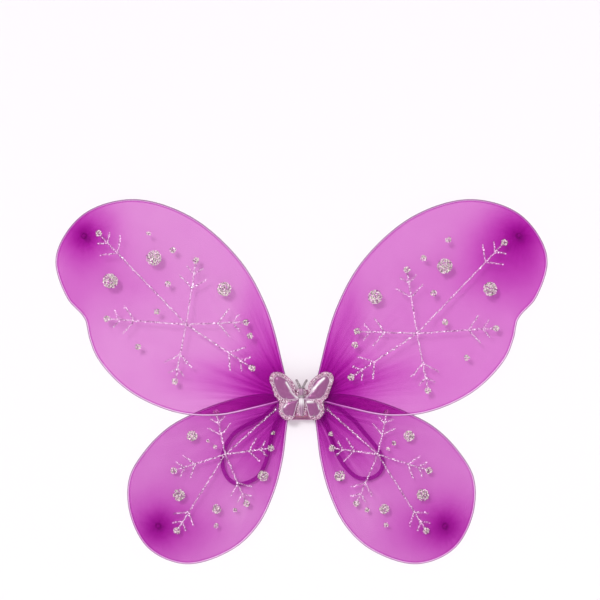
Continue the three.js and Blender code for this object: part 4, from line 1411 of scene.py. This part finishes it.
def wrinkles(points, count, reach, height, seed):
    """Creases that run out from the pinch, uneven in width and fading with distance."""
    away = points - PINCH
    distance = np.linalg.norm(away, axis=1)
    angle = np.arctan2(away[:, 1], np.abs(away[:, 0]))
    wave = np.sin(count * angle + 2.4 * np.sin(3 * angle + seed)) + 0.5 * np.sin(2.3 * count * angle + seed)
    return height * wave * np.exp(-distance / reach)


def add_padded_glitter(name, body, loops, plane_y, height, seed, material, foil, *replaced):
    """A padded form between outlines, and the glitter flakes on its front."""
    def gap_at(points):
        return np.min([distance_to(points, loop) for loop in loops], axis=0)

    def inside(points):
        kept = within(points, loops[0])
        for hole in loops[1:]:
            kept &= ~within(points, hole)
        return kept

    def crown(points, gap):
        lumps = 0.10 * MM * np.sin(points[:, 0] * 2300) * np.sin(points[:, 1] * 2100)
        return height * rolled(gap, BORDER_ROLL) + lumps * np.minimum(gap / MM, 1.0)

    grid = honeycomb(loops[0], 0.7 * MM)
    grid = grid[inside(grid) & (gap_at(grid) > 0.3 * MM)]
    vertices, faces, *_ = pillow(loops, grid, plane_y, crown, FLAT_BACK)
    finish_piece(add_mesh(name, vertices, faces, material), body, "glitter_border", *replaced)

    rng = np.random.default_rng(seed)
    low_corner, high_corner = loops[0].min(axis=0), loops[0].max(axis=0)
    count = int(BORDER_FLAKES * np.prod(high_corner - low_corner) / MM**2)
    spots = rng.uniform(low_corner, high_corner, (count, 2))
    spots = spots[inside(spots)]
    y = plane_y - crown(spots, gap_at(spots)) - 0.06 * MM
    centres = np.column_stack([spots[:, 0], y, spots[:, 1]])
    radii = rng.uniform(*BORDER_FLAKE_RADII, len(centres)) * MM
    vertices, faces = flakes(centres, radii, rng, BORDER_FLAKE_TILT)
    dust = add_mesh(f"{name}_flakes", vertices, faces, foil, smooth=False)
    finish_piece(dust, body, "glitter_border")


def add_centre_strip(material, foil):
    """The glittered strip that the two halves' borders run into, under the body."""
    right = np.array(CENTRE_STRIP) * MM
    left = right[::-1][1:-1] * (-1, 1)
    outline = spline(np.vstack([right, left]), 110, closed=True)
    plane_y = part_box("ornament_core")[0].y
    add_padded_glitter("ornament_centre_strip", "centre", [outline], plane_y, CENTRE_CROWN, BORDER_SEED,
                       material, foil)


def add_border(side_name, material, foil, piping):
    """The padded glitter border round both cells of one half, with a cord round each cell.

    Returns the outlines of the two cells.
    """
    node, flap = f"ornament_{side_name}_border", f"{side_name}_ornament_flap"
    plane_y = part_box(node)[1].y
    loops = []
    for loop in front_loops(node):
        loops.append(evenly(loop, max(60, int(path_length(loop) / (0.6 * MM))), closed=True))
    add_padded_glitter(f"ornament_{side_name}_rim", flap, loops, plane_y, BORDER_CROWN,
                       BORDER_SEED + SIDES[side_name], material, foil, node)

    cords = []
    for hole in loops[1:]:
        path = in_plane(hole, plane_y - CELL_PIPING_LIFT)
        cords.append(sweep(path, ring_section(PIPING_RADIUS), closed=True))
    trim = add_laid(f"ornament_{side_name}_piping", joined(cords), piping)
    finish_piece(trim, flap, "glitter_cord")
    return loops[1:]


def painted_highlight_at(points, side_name):
    """How strongly the painted highlights whiten the film at each point."""
    silver = np.zeros(len(points))
    for start, end, half_width in PAINTED_HIGHLIGHTS[side_name]:
        ends = np.array([start, end]) * (SIDES[side_name] * MM, MM)
        silver = np.maximum(silver, bell(distance_to(points, ends), half_width * MM))
    return silver


def add_puff(side_name, level, outline, film):
    """A wadded cell under pearly film, wrinkled towards the pinch."""
    node = f"ornament_{side_name}_{level}_puff"
    plane_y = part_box(node)[1].y
    outline = inwards(outline, 0.12 * MM)
    rows = np.vstack([inwards(outline, offset * MM) for offset in (0.15, 0.4, 0.8)])
    grid = honeycomb(outline, 0.5 * MM)
    grid = grid[within(grid, outline) & (distance_to(grid, outline) > 1.1 * MM)]
    seed = 1.7 * SIDES[side_name] + (0.6 if level == "upper" else 3.1)

    def crown(points, gap):
        creased = wrinkles(points, 15.0, 15 * MM, 0.42 * MM, seed)
        away = points - points.mean(axis=0)
        pucker = 0.10 * MM * np.sin(34 * np.arctan2(away[:, 1], away[:, 0]))
        near_edge = np.exp(-gap / (1.4 * MM)) * np.minimum(gap / (0.4 * MM), 1.0)
        creased *= np.minimum(gap / (1.5 * MM), 1.0)
        return PUFF_CROWN * rolled(gap, PUFF_ROLL) + creased + pucker * near_edge

    vertices, faces, flat, _ = pillow([outline], np.vstack([rows, grid]), plane_y, crown, FLAT_BACK)
    puff = add_mesh(f"ornament_{side_name}_{level}_cell", vertices, faces, film,
                    {"silver": painted_highlight_at(flat, side_name)})
    finish_piece(puff, f"{side_name}_ornament_flap", "padded_film", node)


def add_fan(side_name, level, film, piping):
    """Film pleated into the pinch, where it joins a half to the centre."""
    side = SIDES[side_name]
    plane_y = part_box("ornament_core")[0].y - 0.4 * MM
    corners = np.array([(side * x, z) for x, z in FANS[level]]) * MM
    outline = spline(corners, 110, closed=True)
    grid = honeycomb(outline, 0.45 * MM)
    grid = grid[within(grid, outline) & (distance_to(grid, outline) > 0.2 * MM)]

    def crown(points, gap):
        pleats = wrinkles(points, 17.0, 13 * MM, 0.30 * MM, side) * np.minimum(gap / (0.8 * MM), 1.0)
        return FAN_CROWN * rolled(gap, FAN_ROLL) + FAN_LIFT + pleats

    vertices, faces, flat, _ = pillow([outline], grid, plane_y, crown, 0.0)
    fan = add_mesh(f"ornament_{side_name}_{level}_fan", vertices, faces, film,
                   {"silver": painted_highlight_at(flat, side_name)})
    cords = []
    for first, last in FAN_PIPING[level]:
        path = in_plane(spline(corners[first:last + 1], 40), plane_y - FAN_PIPING_LIFT)
        cords.append(sweep(path, ring_section(PIPING_RADIUS)))
    trim = add_laid(f"ornament_{side_name}_{level}_fan_piping", joined(cords), piping)
    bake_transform(fan)
    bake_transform(trim)


def twisted(path, strands, strand_radius, pitch):
    """A cord of round strands that wind about a path."""
    heading = unit(np.gradient(path, axis=0))
    across = unit(np.cross((0.0, 1.0, 0.0), heading))
    deep = np.cross(heading, across)
    parts = []
    for i in range(strands):
        turn = 2 * math.pi * (distance_along(path) / pitch + i / strands)
        line = path + strand_radius * (np.cos(turn)[:, None] * across + np.sin(turn)[:, None] * deep)
        parts.append(sweep(line, ring_section(strand_radius)))
    return joined(parts)


def add_body(film, cord):
    """The ornament's stuffed body, its silver binding at the waist, and two corded antennae."""
    low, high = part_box("ornament_body")
    x, y, _ = middle_of("ornament_body")
    profile = np.array([(0.4, low.z / MM), *BODY_PROFILE, (0.2, high.z / MM)]) * MM
    turn = around(BODY_SIDES)
    rings = []
    for radius, z in spline(profile, 46):
        near_waist = math.exp(-abs(z - PINCH[1]) / (3.5 * MM))
        pleated = radius * (1 + (0.04 + 0.16 * near_waist) * np.cos(11 * turn + 80 * z))
        level = np.full(BODY_SIDES, z)
        rings.append(np.column_stack([x + pleated * np.cos(turn), y + pleated * np.sin(turn), level]))
    vertices, faces, _ = loft(rings)
    below_waist = bell(vertices[:, 2] / MM - 4.5, 4.5)
    silver = 0.05 + 0.70 * below_waist + 0.25 * np.cos(vertices[:, 0] * 1500) ** 4
    body = add_mesh("ornament_stuffed_body", vertices, faces, film, {"silver": silver})
    finish_piece(body, "centre", "padded_film", "ornament_body")

    low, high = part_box("ornament_cinch")
    turn = np.linspace(0, 2 * math.pi * BINDING_WINDS, 150)
    z = np.linspace(low.z + 0.4 * MM, high.z - 0.4 * MM, 150)
    path = np.column_stack([x + BINDING_ACROSS * np.cos(turn), y + BINDING_DEEP * np.sin(turn), z])
    form = sweep(path, ring_section(0.45 * MM, 9), first_across=(0, 0, 1))
    finish_piece(add_laid("ornament_binding", form, cord), "centre", "glitter_cord", "ornament_cinch")

    for side_name, side in SIDES.items():
        path = in_plane(spline(np.array(ANTENNA_POINTS) * MM * (side, 1), 60), y)
        form = twisted(path, 2, ANTENNA_STRAND, ANTENNA_PITCH)
        antenna = add_laid(f"ornament_{side_name}_feeler", form, cord)
        finish_piece(antenna, "centre", "glitter_cord", f"ornament_{side_name}_antenna")


# ------------------------------------------------------------------------------ stage
PAPER_Y = 1.5 * MM
PAPER_SIZE = 6.0
FLOOR_Z = -0.26
FLOOR_SIZE = 8.0
FLOOR_GLOW = 0.24                  # seen straight on, the floor is as white as the paper
WHITE = (1.0, 0.975, 1.0)
PAPER_WHITE = (0.98, 0.945, 0.975)
SUN_TRAVEL = (0.41, 1.0, -0.51)
SUN_STRENGTH = 1.32
SUN_ANGLE = math.radians(16)
AMBIENT = 0.50
# How bright the studio is from straight below, at 0, to straight above, at 1.
STUDIO = [(0.0, 0.45), (0.42, 0.75), (0.56, 1.0), (0.64, 1.75), (0.80, 1.2), (1.0, 1.3)]


def add_panel(name, corners, material):
    """One flat face of the stage."""
    return add_mesh(name, corners, [(0, 1, 2, 3)], material, smooth=False)


def add_stage():
    """White paper right behind the wings, a pale floor below, a soft key from the upper left."""
    shader = Shader("paper")
    shader.set(Base_Color=(*PAPER_WHITE, 1.0), Roughness=1.0, Specular_IOR_Level=0.0)
    seen_from_behind = shader.node("ShaderNodeNewGeometry").outputs["Backfacing"]
    shader.mix_surfaces(seen_from_behind, shader.surface, shader.node("ShaderNodeBsdfTransparent"))
    half = PAPER_SIZE / 2
    corners = [(-half, PAPER_Y, FLOOR_Z), (half, PAPER_Y, FLOOR_Z), (half, PAPER_Y, half),
               (-half, PAPER_Y, half)]
    paper = add_panel("paper_backdrop", corners, shader.material)
    paper.visible_diffuse = False
    paper.visible_glossy = False
    paper.visible_transmission = False
    paper.visible_shadow = False

    shader = Shader("pale_floor")
    grain = shader.noise(60.0, 3.0)
    seen_directly = shader.node("ShaderNodeLightPath").outputs["Is Camera Ray"]
    glow = shader.math("MULTIPLY", seen_directly, FLOOR_GLOW)
    color = shader.ramp(grain, [(0.3, (0.93, 0.91, 0.93)), (0.7, (0.96, 0.94, 0.96))])
    shader.set(Base_Color=color, Roughness=0.9, Emission_Color=(*WHITE, 1.0), Emission_Strength=glow)
    half = FLOOR_SIZE / 2
    corners = [(-half, -half, FLOOR_Z), (half, -half, FLOOR_Z), (half, half, FLOOR_Z),
               (-half, half, FLOOR_Z)]
    floor = add_panel("pale_floor", corners, shader.material)

    light = bpy.data.lights.new("key", "SUN")
    light.energy = SUN_STRENGTH
    light.angle = SUN_ANGLE
    key = bpy.data.objects.new("key", light)
    key.rotation_mode = "QUATERNION"
    key.rotation_quaternion = Vector(SUN_TRAVEL).to_track_quat("-Z", "Y")
    bpy.context.scene.collection.objects.link(key)


def add_world():
    """Seen straight on it is white; as a light it is a soft studio, brighter above than below."""
    world = bpy.data.worlds.new("studio")
    bpy.context.scene.world = world
    world.use_nodes = True
    tree = world.node_tree
    seen = tree.nodes["Background"]
    seen.inputs["Color"].default_value = (*WHITE, 1.0)
    lighting = tree.nodes.new("ShaderNodeBackground")
    lighting.inputs["Strength"].default_value = AMBIENT
    coordinates = tree.nodes.new("ShaderNodeTexCoord")
    parts = tree.nodes.new("ShaderNodeSeparateXYZ")
    ramp = tree.nodes.new("ShaderNodeValToRGB")
    remap = tree.nodes.new("ShaderNodeMapRange")
    remap.inputs["From Min"].default_value = -1.0
    while len(ramp.color_ramp.elements) < len(STUDIO):
        ramp.color_ramp.elements.new(0.5)
    for element, (position, bright) in zip(ramp.color_ramp.elements, STUDIO):
        element.position = position
        element.color = (bright, bright * 0.985, bright, 1.0)
    tree.links.new(coordinates.outputs["Generated"], parts.inputs[0])
    tree.links.new(parts.outputs["Z"], remap.inputs["Value"])
    tree.links.new(remap.outputs["Result"], ramp.inputs["Fac"])
    tree.links.new(ramp.outputs["Color"], lighting.inputs["Color"])
    path = tree.nodes.new("ShaderNodeLightPath")
    mix = tree.nodes.new("ShaderNodeMixShader")
    tree.links.new(path.outputs["Is Camera Ray"], mix.inputs["Fac"])
    tree.links.new(lighting.outputs[0], mix.inputs[1])
    tree.links.new(seen.outputs[0], mix.inputs[2])
    tree.links.new(mix.outputs[0], tree.nodes["World Output"].inputs["Surface"])
    bpy.context.scene.view_settings.view_transform = "Standard"


# ------------------------------------------------------------------------------ everything
# The camera and the cords first.
add_camera()
elastic = elastic_material()
for side_name in SIDES:
    add_arm_loop(side_name, elastic)

wire_paint = wire_material()
foil = flake_material("foil_flakes", [
    (0.0, (0.96, 0.86, 0.86)), (0.26, (0.88, 0.58, 0.77)), (0.42, (0.60, 0.62, 0.44)),
    (0.62, (0.36, 0.26, 0.28)), (0.82, (0.12, 0.07, 0.09)),
])
lilac_foil = flake_material("lilac_flakes", [
    (0.0, (0.98, 0.82, 0.96)), (0.34, (0.88, 0.50, 0.82)), (0.62, (0.56, 0.30, 0.50)),
    (0.84, (0.26, 0.08, 0.22)),
])
glue_film = glue_material()
for side_name in SIDES:
    for level in WING_LOOKS:
        add_rim_wire(side_name, level, wire_paint)
        add_sleeve(side_name, level)
        add_glitter(side_name, level, lilac_foil, foil, glue_film)

bunched = gathered_nylon_material("gathered_nylon", 1.0)
toe_nylon = gathered_nylon_material("toe_nylon", 1.4)
lilac_thread = thread_material("thread", (0.42, 0.12, 0.42), (0.78, 0.45, 0.76))
for side_name in SIDES:
    for level in WING_LOOKS:
        add_gather(side_name, level, bunched, lilac_thread)
        add_toe_knot(side_name, level, toe_nylon, lilac_thread)

pink_felt = felt_material("pink_felt", (0.40, 0.12, 0.30), (0.66, 0.28, 0.51))
add_pad(pink_felt, lilac_thread)
add_wrap(ribbon_material())
film = film_material()
lacquer = border_material()
silver_cord = metal_cord_material()
rose_foil = flake_material("rose_flakes", [
    (0.0, (0.98, 0.88, 0.94)), (0.26, (0.84, 0.48, 0.68)), (0.46, (0.50, 0.20, 0.36)),
    (0.74, (0.17, 0.05, 0.11)),
])
rose_cord = thread_material("rose_cord", (0.62, 0.34, 0.54), (0.95, 0.76, 0.90))
add_body(film, silver_cord)
add_centre_strip(lacquer, rose_foil)
for side_name in SIDES:
    add_tab(side_name, elastic, lilac_thread)
    cells = add_border(side_name, lacquer, rose_foil, rose_cord)
    for level, cell in zip(("upper", "lower"), cells):
        add_puff(side_name, level, cell, film)
        add_fan(side_name, level, film, rose_cord)

# CAD nodes that are shown as they are.
carried = {"bundle_tape": tape_material(), "ornament_core": pink_felt}
steel = twisted_wire_material()
for side_name in SIDES:
    carried[f"ornament_{side_name}_backing"] = pink_felt
    for level in WING_LOOKS:
        carried[f"{side_name}_{level}_wire_tail"] = steel
        carried[f"{side_name}_{level}_snowflake"] = glue_film
for node, material in carried.items():
    frame["nodes"][node].data.materials.clear()
    frame["nodes"][node].data.materials.append(material)

add_stage()
add_world()
